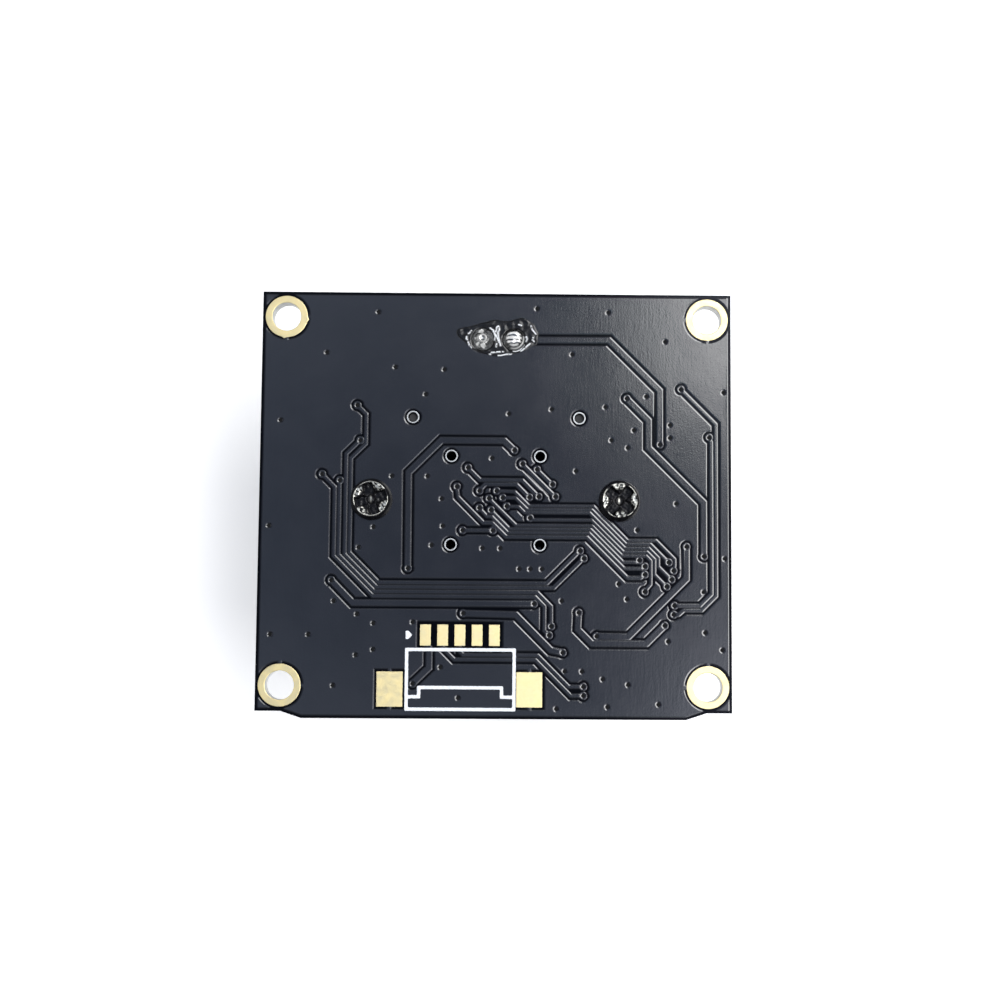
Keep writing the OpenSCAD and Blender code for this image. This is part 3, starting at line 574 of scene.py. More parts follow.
@dataclass
class Outline:
    """Closed loops in the plane, with what they enclose on their left, in millimetres."""

    loops: list[Points]

    @classmethod
    def of_cap(cls, node: str) -> Outline:
        """Reads the outline of a node's highest flat face.

        Args:
            node: A node of the frame.

        Returns:
            The loops round that face.
        """
        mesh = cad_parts[node].data
        place = np.empty(len(mesh.vertices) * 3)
        mesh.vertices.foreach_get("co", place)
        place = place.reshape(-1, 3) / MM
        corners = np.empty(len(mesh.polygons) * 3, np.int64)
        mesh.polygons.foreach_get("vertices", corners)
        corners = corners.reshape(-1, 3)
        top = place[:, 2].max()
        corners = corners[(place[corners][:, :, 2] > top - 1e-3).all(axis=1)]
        _, first, same = np.unique(np.round(place * 2e4), axis=0, return_index=True, return_inverse=True)
        corners = same.ravel()[corners]
        edges = np.vstack([corners[:, [0, 1]], corners[:, [1, 2]], corners[:, [2, 0]]])
        known = {(int(a), int(b)) for a, b in edges}
        following = {a: b for a, b in known if (b, a) not in known}
        loops = []
        while following:
            start = min(following)
            chain = [start]
            step = following.pop(start)
            while step != start and step in following:
                chain.append(step)
                step = following.pop(step)
            loops.append(place[first[chain]][:, :2])
        return cls([loop for loop in loops if len(loop) > 2])

    def outer(self) -> Outline:
        """The loops that run counterclockwise, which are the outer ones."""
        return Outline([loop for loop in self.loops if self.area(loop) > 0])

    @staticmethod
    def area(loop: Points) -> float:
        """Signed area of a loop."""
        x, y = loop.T
        return float(0.5 * np.sum(x * np.roll(y, -1) - y * np.roll(x, -1)))

    def moved(self, inward: float) -> Outline:
        """Loops that run beside these.

        Args:
            inward: How far they lie inside. Negative lies outside.

        Returns:
            The new loops, with mitred corners.
        """
        result = []
        for loop in self.loops:
            run = np.roll(loop, -1, axis=0) - loop
            length = np.linalg.norm(run, axis=1, keepdims=True)
            side = np.stack([-run[:, 1], run[:, 0]], axis=1) / np.maximum(length, 1e-9)
            before = np.roll(side, 1, axis=0)
            share = 1.0 + np.sum(side * before, axis=1, keepdims=True)
            result.append(loop + inward * (side + before) / np.maximum(share, 0.12))
        return Outline(result)

    def steadied(self, reach: float) -> Outline:
        """Adds a point on each side of every corner, so that what follows a straight run stays straight.

        Args:
            reach: How far from the corners the points lie.

        Returns:
            The same loops with more points.
        """
        result = []
        for loop in self.loops:
            run = np.roll(loop, -1, axis=0) - loop
            length = np.linalg.norm(run, axis=1)
            points: list[Points] = []
            for start, way, size in zip(loop, run, length):
                points.append(start)
                if size > 2.5 * reach:
                    points += [start + way * (reach / size), start + way * (1.0 - reach / size)]
            result.append(np.array(points))
        return Outline(result)

    def rounded(self, step: float, rounds: int = 2) -> Outline:
        """Divides the loops into short runs and cuts the corners.

        Args:
            step: Length of a run.
            rounds: How often the corners are cut.

        Returns:
            Loops with soft corners.
        """
        result = []
        for loop in self.loops:
            points: list[Points] = []
            for start, end in zip(loop, np.roll(loop, -1, axis=0)):
                count = max(1, round(float(np.linalg.norm(end - start)) / step))
                points += [start + (end - start) * i / count for i in range(count)]
            line = np.array(points)
            for _ in range(rounds):
                line = (np.roll(line, 1, axis=0) + 2.0 * line + np.roll(line, -1, axis=0)) / 4.0
            result.append(line)
        return Outline(result)

    def roughened(self, amount: Callable[[Points], Points]) -> Outline:
        """Pushes the points of the loops outwards by an amount that varies from place to place.

        Args:
            amount: Gives the push at each point.

        Returns:
            The rough loops.
        """
        result = []
        for loop in self.loops:
            run = np.roll(loop, -1, axis=0) - np.roll(loop, 1, axis=0)
            out = np.stack([run[:, 1], -run[:, 0]], axis=1)
            out /= np.maximum(np.linalg.norm(out, axis=1, keepdims=True), 1e-9)
            result.append(loop + out * amount(loop)[:, None])
        return Outline(result)

    def segments(self) -> tuple[Points, Points]:
        """Lists every edge of the loops.

        Returns:
            The start points and the end points of the edges.
        """
        starts = np.vstack(self.loops)
        ends = np.vstack([np.roll(loop, -1, axis=0) for loop in self.loops])
        return starts, ends

    def contains(self, points: Points) -> Points:
        """Which points lie inside, by counting the edges to their right.

        Args:
            points: Points in the plane.

        Returns:
            One truth value for each point.
        """
        starts, ends = self.segments()
        inside = np.zeros(len(points), bool)
        for low in range(0, len(points), 4000):
            x, y = points[low : low + 4000, None, 0], points[low : low + 4000, None, 1]
            spans = (starts[:, 1] > y) != (ends[:, 1] > y)
            with np.errstate(divide="ignore", invalid="ignore"):
                share = (y - starts[:, 1]) / (ends[:, 1] - starts[:, 1])
                right = x < starts[:, 0] + share * (ends[:, 0] - starts[:, 0])
            inside[low : low + 4000] = (spans & right).sum(axis=1) % 2 == 1
        return inside

    def depth(self, points: Points) -> tuple[Points, Points]:
        """How far points lie inside, and the way further in.

        Args:
            points: Points in the plane.

        Returns:
            The depth of each point, negative outside, and the unit vector along which it grows.
        """
        starts, ends = self.segments()
        run = ends - starts
        square = np.maximum((run**2).sum(axis=1), 1e-12)
        near = np.empty_like(points)
        for low in range(0, len(points), 2000):
            p = points[low : low + 2000, None, :]
            share = np.clip(((p - starts) * run).sum(axis=2) / square, 0.0, 1.0)
            foot = starts + share[:, :, None] * run
            which = ((p - foot) ** 2).sum(axis=2).argmin(axis=1)
            near[low : low + 2000] = foot[np.arange(len(which)), which]
        away = points - near
        distance = np.linalg.norm(away, axis=1)
        sign = np.where(self.contains(points), 1.0, -1.0)
        way = away / np.maximum(distance, 1e-6)[:, None]
        return sign * distance, sign[:, None] * way


@dataclass
class Terrain:
    """Triangles over the plane whose edges follow given loops."""

    points: Points
    corners: Points

    @classmethod
    def over(
        cls, loops: Sequence[Points], keep: Callable[[Points], Points], loose: Points | None = None
    ) -> Terrain:
        """Lays triangles through all the loops.

        Args:
            loops: Closed loops, which may cross.
            keep: Says which triangle centres belong to the terrain.
            loose: Further points that the triangles go through.

        Returns:
            The terrain, without the triangles that keep leaves out.
        """
        places: list[Vector] = []
        edges: list[tuple[int, int]] = []
        for loop in loops:
            base = len(places)
            places += [Vector((float(x), float(y))) for x, y in loop]
            edges += [(base + i, base + (i + 1) % len(loop)) for i in range(len(loop))]
        if loose is not None:
            places += [Vector((float(x), float(y))) for x, y in loose]
        found = delaunay_2d_cdt(places, edges, [], 0, 1e-5, False)
        points = np.array([tuple(v) for v in found[0]])
        corners = np.array(found[2], np.int64)
        a, b, c = (points[corners[:, i]] for i in range(3))
        twice = (b[:, 0] - a[:, 0]) * (c[:, 1] - a[:, 1]) - (b[:, 1] - a[:, 1]) * (c[:, 0] - a[:, 0])
        corners = np.where(twice[:, None] > 0, corners, corners[:, ::-1])[np.abs(twice) > 1e-8]
        corners = corners[keep(points[corners].mean(axis=1))]
        used, corners = np.unique(corners, return_inverse=True)
        return cls(points[used], corners.reshape(-1, 3))

    def rim(self) -> Points:
        """Finds the edges that only one triangle has.

        Returns:
            The two corners of each such edge, with the triangle on its left.
        """
        edges = np.vstack([self.corners[:, [0, 1]], self.corners[:, [1, 2]], self.corners[:, [2, 0]]])
        known = {(int(a), int(b)) for a, b in edges}
        return np.array(sorted((a, b) for a, b in known if (b, a) not in known), np.int64)

    def solid(self, name: str, height: Points, normals: Points, base: float) -> bpy.types.Object:
        """Closes the terrain to a solid with a flat underside.

        Args:
            name: Name of the piece.
            height: Height of each point.
            normals: Normal of each point.
            base: Height of the underside.

        Returns:
            The new object, in metres.
        """
        count = len(self.points)
        top = np.column_stack([self.points, height])
        under = np.column_stack([self.points, np.full(count, base)])
        rim = self.rim()
        walls = np.column_stack([rim[:, 1], rim[:, 0], rim[:, 0] + count, rim[:, 1] + count])
        faces = [*self.corners.tolist(), *(self.corners[:, ::-1] + count).tolist(), *walls.tolist()]
        piece = new_piece(name, np.vstack([top, under]), faces)
        run = self.points[rim[:, 1]] - self.points[rim[:, 0]]
        out = np.column_stack([run[:, 1], -run[:, 0], np.zeros(len(run))])
        out /= np.maximum(np.linalg.norm(out, axis=1, keepdims=True), 1e-9)
        split = np.vstack(
            [
                normals[self.corners.ravel()],
                np.tile([0.0, 0.0, -1.0], (self.corners.size, 1)),
                np.repeat(out, 4, axis=0),
            ]
        )
        piece.data.normals_split_custom_set(split.tolist())
        piece.data.update()
        return piece


def settle(piece: bpy.types.Object, finishes: Sequence[Finish], node: str) -> None:
    """Dresses a piece, puts it on the part and lets it stand for a node.

    Args:
        piece: The new piece, in place.
        finishes: The finishes that its faces number.
        node: The node that it replaces.
    """
    for finish in finishes:
        piece.data.materials.append(finish.material())
    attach(piece, "root")
    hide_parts(node)
    LOG.info("%s: %d faces", piece.name, len(piece.data.polygons))


# ---------------------------------------------------------------- sub-assemblies


@dataclass
class MaskRelief:
    """The solder mask: one skin that runs down from the copper to the laminate and up again.

    Its slope starts at the shoulder, inside the edge of the copper, and ends at the toe, outside it.
    The rings are the depths at which edges of the skin follow the copper. The skin ends at each via's
    hole, and dips towards it from dip_r inwards.
    """

    shoulder: float = 0.05
    toe: float = 0.09
    floor: float = 0.018
    rings: tuple[float, ...] = (0.065, 0.05, 0.02, -0.02, -0.06, -0.09)
    via_area: float = 0.07
    via_r: float = 0.15
    dip_r: float = 0.28
    dip: float = 0.026
    vias: Points = field(init=False)
    copper: Outline = field(init=False)
    board: Outline = field(init=False)
    bare: Outline = field(init=False)

    def __post_init__(self) -> None:
        """Reads the outlines of the copper, the board and all that stays free of mask."""
        whole = Outline.of_cap("back_copper").loops
        is_via = [-self.via_area < Outline.area(loop) < 0 for loop in whole]
        self.vias = np.array([loop.mean(axis=0) for loop, via in zip(whole, is_via) if via])
        self.copper = Outline([loop for loop, via in zip(whole, is_via) if not via])
        self.board = Outline.of_cap("pcb")
        rings = Outline.of_cap("mounting_hole_plating").outer().loops
        rings += Outline.of_cap("small_hole_plating").outer().loops
        pads = Outline.of_cap("connector_pads").loops + Outline.of_cap("anchor_pads").loops
        self.bare = Outline(rings + pads)

    def build(self) -> None:
        """Lays the skin over the back of the board."""
        loops = [loop for depth in self.rings for loop in self.copper.moved(depth).steadied(0.1).loops]
        loops += self.board.outer().loops + self.bare.loops
        for middle in self.vias:
            loops += [middle + r * circle(14) for r in (self.via_r, 0.185, 0.23, self.dip_r)]
        edge = self.board.outer()
        terrain = Terrain.over(
            loops,
            lambda p: edge.contains(p) & ~self.bare.contains(p) & (self.from_via(p)[0] > self.via_r * 0.97),
        )
        height, normals = self.surface(terrain.points)
        piece = terrain.solid("solder_mask", height, normals, 0.001)
        # Painted shade: the grooves beside the copper get a value that dulls the mask to black.
        groove_painted_shade = smooth((-self.copper.depth(terrain.points)[0] - 0.03) / 0.05)
        store_wear_and_painted_light(piece, np.tile(groove_painted_shade, 2))
        settle(piece, [MASK], "back_copper")

    def from_via(self, points: Points) -> tuple[Points, Points]:
        """Distance from the nearest via.

        Args:
            points: Points in the plane of the board.

        Returns:
            The distance of each point and the unit vector away from the via.
        """
        away = points[:, None, :] - self.vias[None, :, :]
        which = (away**2).sum(axis=2).argmin(axis=1)
        away = away[np.arange(len(points)), which]
        distance = np.linalg.norm(away, axis=1)
        return distance, away / np.maximum(distance, 1e-6)[:, None]

    def surface(self, points: Points) -> tuple[Points, Points]:
        """Height and normal of the mask.

        Args:
            points: Points in the plane of the board.

        Returns:
            The height of each point and its normal.
        """
        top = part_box("back_copper")[1].z / MM
        depth, way = self.copper.depth(points)
        reach = self.shoulder + self.toe
        t = (depth + self.toe) / reach
        height = self.floor + (top - self.floor) * smooth(t)
        rise = way * ((top - self.floor) * smooth_slope(t) / reach)[:, None]
        distance, out = self.from_via(points)
        span = self.dip_r - self.via_r
        share = np.clip((self.dip_r - distance) / span, 0.0, 1.0)
        height = height - self.dip * share**1.5
        rise += out * (self.dip * 1.5 * np.sqrt(share) / span)[:, None]
        return height, upright(rise)


def store_wear_and_painted_light(piece: bpy.types.Object, wear_and_painted_light: Points) -> None:
    """Stores a value for each vertex: worn steel on the screws, painted highlight on the solder and the
    flux, painted shade in the mask's grooves.

    Args:
        piece: The piece.
        wear_and_painted_light: A value from 0 to 1 for each vertex.
    """
    layer = piece.data.attributes.new("wear_and_painted_light", "FLOAT", "POINT")
    layer.data.foreach_set("value", np.clip(wear_and_painted_light, 0.0, 1.0).astype(np.float32))


@dataclass
class Film:
    """A thin layer within outlines, with a rounded rim and its own relief."""

    name: str
    parts: list[Outline]
    base: float
    top: float
    rim: float = 0.03
    relief: Callable[[Points], Points] | None = None
    wear_and_painted_light: Callable[[Points], Points] | None = None
    loose: Points | None = None

    def build(self) -> bpy.types.Object:
        """Lays the film.

        Returns:
            The new object.
        """
        loops = [loop for part in self.parts for loop in part.loops]
        for share in (0.4, 1.0, 1.35):
            loops += [loop for part in self.parts for loop in part.moved(self.rim * share).loops]
        terrain = Terrain.over(loops, lambda p: self.depth(p) > 0.0, self.loose)
        places, step = terrain.points, 0.004
        rise = [
            (self.height(places + way) - self.height(places - way)) / (2.0 * step)
            for way in (np.array([step, 0.0]), np.array([0.0, step]))
        ]
        normals = upright(np.column_stack(rise))
        piece = terrain.solid(self.name, self.height(places), normals, self.base)
        if self.wear_and_painted_light is not None:
            store_wear_and_painted_light(piece, np.tile(self.wear_and_painted_light(places), 2))
        return piece

    def depth(self, points: Points) -> Points:
        """How far points lie inside the deepest of the outlines."""
        return np.max([part.depth(points)[0] for part in self.parts], axis=0)

    def height(self, points: Points) -> Points:
        """Height of the film's surface, which rounds down to its rim.

        Args:
            points: Points in the plane of the board.

        Returns:
            The height of each point.
        """
        share = np.sqrt(np.clip(self.depth(points) / self.rim, 0.0, 1.0))
        extra = 0.0 if self.relief is None else self.relief(points)
        low = self.base + 0.35 * (self.top - self.base)
        return low + (self.top - low + extra) * share


@dataclass
class Turned:
    """A round solid. Its top follows a height over the plane and its sides follow a profile."""

    name: str
    middle: tuple[float, float]
    radii: Points
    sides: Sequence[tuple[float, float]]
    height: Callable[[Points], Points]
    wear_and_painted_light: Callable[[Points], Points] | None = None
    steps: int = 120

    def build(self) -> bpy.types.Object:
        """Sweeps the rows round the middle.

        Returns:
            The new object.
        """
        around = circle(self.steps)
        top = np.vstack([np.zeros((1, 2)), *[r * around for r in self.radii]])
        rows = [np.column_stack([top, self.height(top)])]
        rows += [np.column_stack([r * around, np.full(self.steps, z)]) for r, z in self.sides]
        rows.append(np.array([[0.0, 0.0, self.sides[-1][1]]]))
        places = np.vstack(rows)
        places[:, :2] += self.middle
        rings = len(self.radii) + len(self.sides)
        own = np.arange(self.steps)
        nxt = (own + 1) % self.steps
        faces = np.column_stack([np.zeros(self.steps, np.int64), own + 1, nxt + 1]).tolist()
        for ring in range(rings - 1):
            a = 1 + ring * self.steps
            b = a + self.steps
            faces += np.column_stack([a + own, b + own, b + nxt, a + nxt]).tolist()
        last = 1 + (rings - 1) * self.steps
        faces += np.column_stack([last + own, np.full(self.steps, last + self.steps), last + nxt]).tolist()
        piece = new_piece(self.name, places, faces)
        piece.data.set_sharp_from_angle(angle=math.radians(50.0))
        if self.wear_and_painted_light is not None:
            value = np.zeros(len(places))
            value[: len(top)] = self.wear_and_painted_light(top)
            store_wear_and_painted_light(piece, value)
        return piece


@dataclass
class Collar:
    """A plated ring round a hole, with a rounded face and a barrel through the board.

    The edge is the radius of its rounded rims, and each nub is a small bump of gold on its outer rim.
    """

    middle: tuple[float, float]
    outer_r: float
    inner_r: float
    face_z: float
    low_z: float
    edge: float = 0.04
    nubs_deg: tuple[float, ...] = ()
    nub: float = 0.10
    wall: float = 0.09

    def mesh_data(self, steps: int = 96) -> tuple[Points, list[list[int]], list[int]]:
        """Sweeps the collar's closed profile round its middle.

        Args:
            steps: How many times the profile is set.

        Returns:
            The vertices, the faces, and the finish number of each face.
        """
        e, out, inn, top, low = self.edge, self.outer_r, self.inner_r, self.face_z, self.low_z
        profile = np.array(
            [
                (out, 0.0), (out, top * 0.5), (out - 0.3 * e, top * 0.9), (out - e, top),
                (out - 1.3 * e, top), (inn + 1.5 * e, top), (inn + 1.2 * e, top),
                (inn + 0.5 * e, top - 0.3 * e), (inn, top - 1.2 * e), (inn, top - 2.0 * e),
                (inn, low), (inn + self.wall, low), (inn + self.wall, 0.0),
            ]
        )
        face_number = [0] * 8 + [1] * 4 + [0]
        turn = np.linspace(0.0, 2.0 * math.pi, steps, endpoint=False)
        push = np.zeros(steps)
        for angle in self.nubs_deg:
            gap = (turn - math.radians(angle) + math.pi) % (2.0 * math.pi) - math.pi
            push += self.nub * np.exp(-((gap * out / 0.11) ** 2))
        rows = []
        for r, z in profile:
            radius = r + push * (r > out - 1.5 * e)
            rows.append(np.column_stack([circle(steps) * radius[:, None], np.full(steps, z)]))
        places = np.vstack(rows)
        places[:, :2] += self.middle
        own = np.arange(steps)
        nxt = (own + 1) % steps
        faces: list[list[int]] = []
        numbers: list[int] = []
        for ring in range(len(profile)):
            a, b = ring * steps, (ring + 1) % len(profile) * steps
            faces += np.column_stack([a + own, a + nxt, b + nxt, b + own]).tolist()
            numbers += [face_number[ring]] * steps
        return places, faces, numbers


@dataclass
class Collars:
    """All collars of one node, as one piece."""

    node: str
    finishes: tuple[Finish, Finish]
    slot: str
    edge: float = 0.04
    nubs: dict[int, tuple[float, ...]] = field(default_factory=dict)

    def build(self) -> None:
        """Builds a collar over each ring of the node."""
        low, high = (corner.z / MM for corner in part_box(self.node))
        cap = Outline.of_cap(self.node)
        places: list[Points] = []
        faces: list[list[int]] = []
        numbers: list[int] = []
        rings = sorted(cap.outer().loops, key=lambda loop: (round(loop[:, 1].mean()), loop[:, 0].mean()))
        holes = [loop for loop in cap.loops if Outline.area(loop) < 0]
        for number, loop in enumerate(rings):
            middle = loop.mean(axis=0)
            hole = min(holes, key=lambda other: float(np.linalg.norm(other.mean(axis=0) - middle)))
            outer_r = float(np.linalg.norm(loop - middle, axis=1).mean())
            inner_r = float(np.linalg.norm(hole - middle, axis=1).mean())
            collar = Collar(
                tuple(middle), outer_r, inner_r, high, low, self.edge, self.nubs.get(number, ())
            )
            base = sum(len(part) for part in places)
            points, own, own_numbers = collar.mesh_data()
            places.append(points)
            faces += [[base + i for i in face] for face in own]
            numbers += own_numbers
        piece = new_piece(self.node + "_collars", np.vstack(places), faces)
        piece.data.polygons.foreach_set("material_index", numbers)
        piece.data.set_sharp_from_angle(angle=math.radians(60.0))
        settle(piece, self.finishes, self.node)


@dataclass
class Screws:
    """The pair of pan head screws, with a wide cross recess whose rim is worn to bright steel; the bright
    ring on the ridge is also a painted highlight.

    The arm is half as wide as a slot of the recess, the reach is how far out the slots go, and depth is
    how deep they are. The ridge is the ring round them, bright as worn steel and as a painted highlight.
    """

    turns_deg: tuple[float, float] = (15.0, 48.0)
    solid_r: float = 1.525
    head_r: float = 1.515
    neck_r: float = 0.95
    ridge_r: float = 1.24
    arm: float = 0.40
    reach: float = 1.17
    depth: float = 0.55

    def build(self) -> None:
        """Turns both screws and joins them."""
        low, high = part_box("lens_mount_screws")
        span = (high.x - low.x) / MM / 2 - self.solid_r
        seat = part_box("back_copper")[1].z / MM + 0.01
        foot = low.z / MM + 0.02
        sides = [
            (self.head_r, 0.30), (self.head_r, seat + 0.07), (self.head_r - 0.045, seat),
            (self.neck_r, seat), (self.neck_r, foot + 0.43), (0.6, foot),
        ]
        rim = [1.33, 1.38, 1.43, 1.475, 1.505]
        radii = np.concatenate([np.arange(0.06, 1.18, 0.04), np.arange(1.18, 1.30, 0.015), rim])
        both = []
        for number, (side, turn) in enumerate(zip((-1, 1), self.turns_deg)):
            both.append(
                Turned(
                    f"screw_{number}", (side * span, 0.0), radii, sides,
                    lambda p, t=turn, n=number: self.height(p, t, n),
                    lambda p, t=turn, n=number: self.wear_and_painted_light(p, t, n), 168,
                ).build()
            )
        piece = join("worn_screws", both)
        settle(piece, [BLACK_ZINC], "lens_mount_screws")

    def cross(self, points: Points, turn: float) -> tuple[Points, Points]:
        """Distances along and across the nearest arm of the recess.

        Args:
            points: Points about the screw's middle.
            turn: Turn of the recess in degrees.

        Returns:
            How far out along the arm and how far beside its middle line.
        """
        angle = math.radians(turn)
        x = points[:, 0] * math.cos(angle) + points[:, 1] * math.sin(angle)
        y = points[:, 1] * math.cos(angle) - points[:, 0] * math.sin(angle)
        return np.maximum(np.abs(x), np.abs(y)), np.minimum(np.abs(x), np.abs(y))

    def height(self, points: Points, turn: float, seed: int) -> Points:
        """Height of the head.

        Args:
            points: Points about the screw's middle.
            turn: Turn of the recess in degrees.
            seed: Picks the dents.

        Returns:
            The height of each point.
        """
        r = np.linalg.norm(points, axis=1)
        along, across = self.cross(points, turn)
        crown = 0.94 - 0.60 * (np.clip(r - 1.2, 0.0, None) / 0.3) ** 2
        crown += 0.02 * np.exp(-(((r - self.ridge_r) / 0.03) ** 2))
        crown += 0.012 * ripple(points, 0.35, 40 + seed) * smooth((1.26 - r) / 0.1)
        width = self.arm + 0.05 * ripple(points, 0.5, 50 + seed)
        open_share = smooth((width - across) / 0.10) * smooth((self.reach - along) / 0.07)
        slump = smooth((0.95 - r) / 0.35) * 0.22
        floor = self.depth + 0.12 * smooth((0.4 - r) / 0.2) + 0.012 * ripple(points, 0.6, 60 + seed)
        return np.minimum(crown, 0.965) - open_share * floor - (1.0 - open_share) * slump

    def wear_and_painted_light(self, points: Points, turn: float, seed: int) -> Points:
        """Where the head shows bright steel: on the ridge, worn and painted as a highlight, on the worn
        lands and on one worn spot inside.

        Args:
            points: Points about the screw's middle.
            turn: Turn of the recess in degrees.
            seed: Picks the worn places.

        Returns:
            A value from 0 to 1 for each point.
        """
        r = np.linalg.norm(points, axis=1)
        along, across = self.cross(points, turn)
        # Painted highlight and wear: a broken bright ring along the ridge.
        broken = smooth(0.75 + 1.7 * ripple(points, 0.9, 70 + seed))
        ridge = np.exp(-(((r - self.ridge_r) / 0.032) ** 4)) * broken
        land = smooth((across - self.arm + 0.02) / 0.06)
        land *= smooth((r - 0.76) / 0.15) * smooth((1.27 - r) / 0.05)
        speckle = 1.4 * ripple(points, 0.26, 80 + seed) + 0.6 * ripple(points, 1.8, 75 + seed)
        land *= smooth(0.35 + speckle)
        spot = np.exp(-(((points[:, 0] + 0.03) / 0.06) ** 2) - (((points[:, 1] - 0.02) / 0.16) ** 2))
        return np.clip(ridge + land + spot, 0.0, 1.0)


def join(name: str, pieces: Sequence[bpy.types.Object]) -> bpy.types.Object:
    """Joins pieces into one.

    Args:
        name: Name of the result.
        pieces: The pieces, all about the same origin.

    Returns:
        The joined piece.
    """
    with bpy.context.temp_override(active_object=pieces[0], selected_editable_objects=list(pieces)):
        bpy.ops.object.join()
    pieces[0].name = name
    pieces[0].data.name = name
    return pieces[0]


@dataclass
class Joints:
    """The two soldered microphone leads: a ringed cone and a fuller, swirled blob.

    Each patch is a painted highlight on the cone: its middle about the lead, and its radius.
    """

    pad_r: float = 0.82
    hole_r: float = 0.4
    patches: tuple[tuple[float, float, float], ...] = (
        (-0.12, 0.55, 0.17), (0.06, -0.50, 0.17), (-0.36, -0.40, 0.12), (-0.52, 0.02, 0.08)
    )

    def build(self) -> None:
        """Builds both joints."""
        radii = np.concatenate([[0.04, 0.08, 0.12], np.arange(0.15, self.pad_r, 0.025), [self.pad_r]])
        sides = [(self.pad_r, 0.005), (self.hole_r, 0.0), (self.hole_r, -0.6)]
        for name, height, bright, slot in (
            ("solder_joint_left", self.cone, self.cone_painted_highlight, "left_solder"),
            ("solder_joint_right", self.blob, self.blob_painted_highlight, "right_solder"),
        ):
            # Each joint's second function gives its painted highlights.
            piece = Turned(name + "_flow", middle_of(name), radii, sides, height, bright).build()
            settle(piece, [SOLDER], name)

    def cone(self, points: Points) -> Points:
        """Height of the left joint, with rings round the lead.

        Args:
            points: Points about the joint's middle.

        Returns:
            The height of each point.
        """
        r = np.linalg.norm(points, axis=1)
        rise = 0.05 + 0.55 * np.clip((self.pad_r - r) / 0.54, 0.0, 1.0)
        rings = 0.012 * np.cos(2.0 * math.pi * r / 0.24) * smooth((self.pad_r - r) / 0.2)
        dents = 0.06 * ripple(points, 0.8, 6) * smooth((r - 0.25) / 0.2) * smooth((self.pad_r - r) / 0.15)
        cup = -0.05 * np.exp(-((r / 0.13) ** 2))
        return 0.05 + rise + rings + dents + cup + 0.10 * smooth((0.3 - r) / 0.08)

    def cone_painted_highlight(self, points: Points) -> Points:
        """Where the left joint has painted highlights: a ring round the lead, its middle, and a few patches.

        Args:
            points: Points about the joint's middle.

        Returns:
            A value from 0 to 1 for each point, or more where they overlap.
        """
        r = np.linalg.norm(points, axis=1)
        ring = np.exp(-(((r - 0.27) / 0.07) ** 4)) + np.exp(-((r / 0.07) ** 4))
        for x, y, size in self.patches:
            gap = np.hypot(points[:, 0] - x, points[:, 1] - y) + 0.05 * ripple(points, 0.3, 16)
            ring += smooth((size - gap) / 0.06 + 0.5)
        return ring

    @staticmethod
    def bend(points: Points) -> Points:
        """How far points lie across the bands of the right joint, which curve and waver."""
        return points[:, 1] + 0.25 * points[:, 0] ** 2 + 0.06 * ripple(points, 0.7, 8)

    def blob_painted_highlight(self, points: Points) -> Points:
        """Where the right joint has painted highlights: bands across it, and a rim at the lower right.

        Args:
            points: Points about the joint's middle.

        Returns:
            A value from 0 to 1 for each point.
        """
        r = np.linalg.norm(points, axis=1)
        bands = smooth(0.85 + 1.1 * np.cos(2.0 * math.pi * (self.bend(points) - 0.08) / 0.30))
        bands *= smooth((0.62 - r) / 0.08)
        rim = np.exp(-(((r - 0.70) / 0.05) ** 4)) * smooth((points[:, 0] - points[:, 1] - 0.35) / 0.2)
        return bands + rim

    def blob(self, points: Points) -> Points:
        """Height of the right joint, with bands that swirl across it.

        Args:
            points: Points about the joint's middle.

        Returns:
            The height of each point.
        """
        r = np.linalg.norm(points, axis=1)
        dome = 0.78 * np.sqrt(np.clip(1.0 - (r / 0.84) ** 2, 0.02, 1.0))
        bands = 0.02 * np.cos(2.0 * math.pi * self.bend(points) / 0.36) * smooth((0.75 - r) / 0.2)
        flat = 0.62 * smooth((0.80 - r) / 0.35)
        dents = 0.02 * ripple(points, 0.6, 9) * smooth((self.pad_r - r) / 0.15)
        return 0.05 + 0.45 * dome + 0.55 * flat + bands + dents


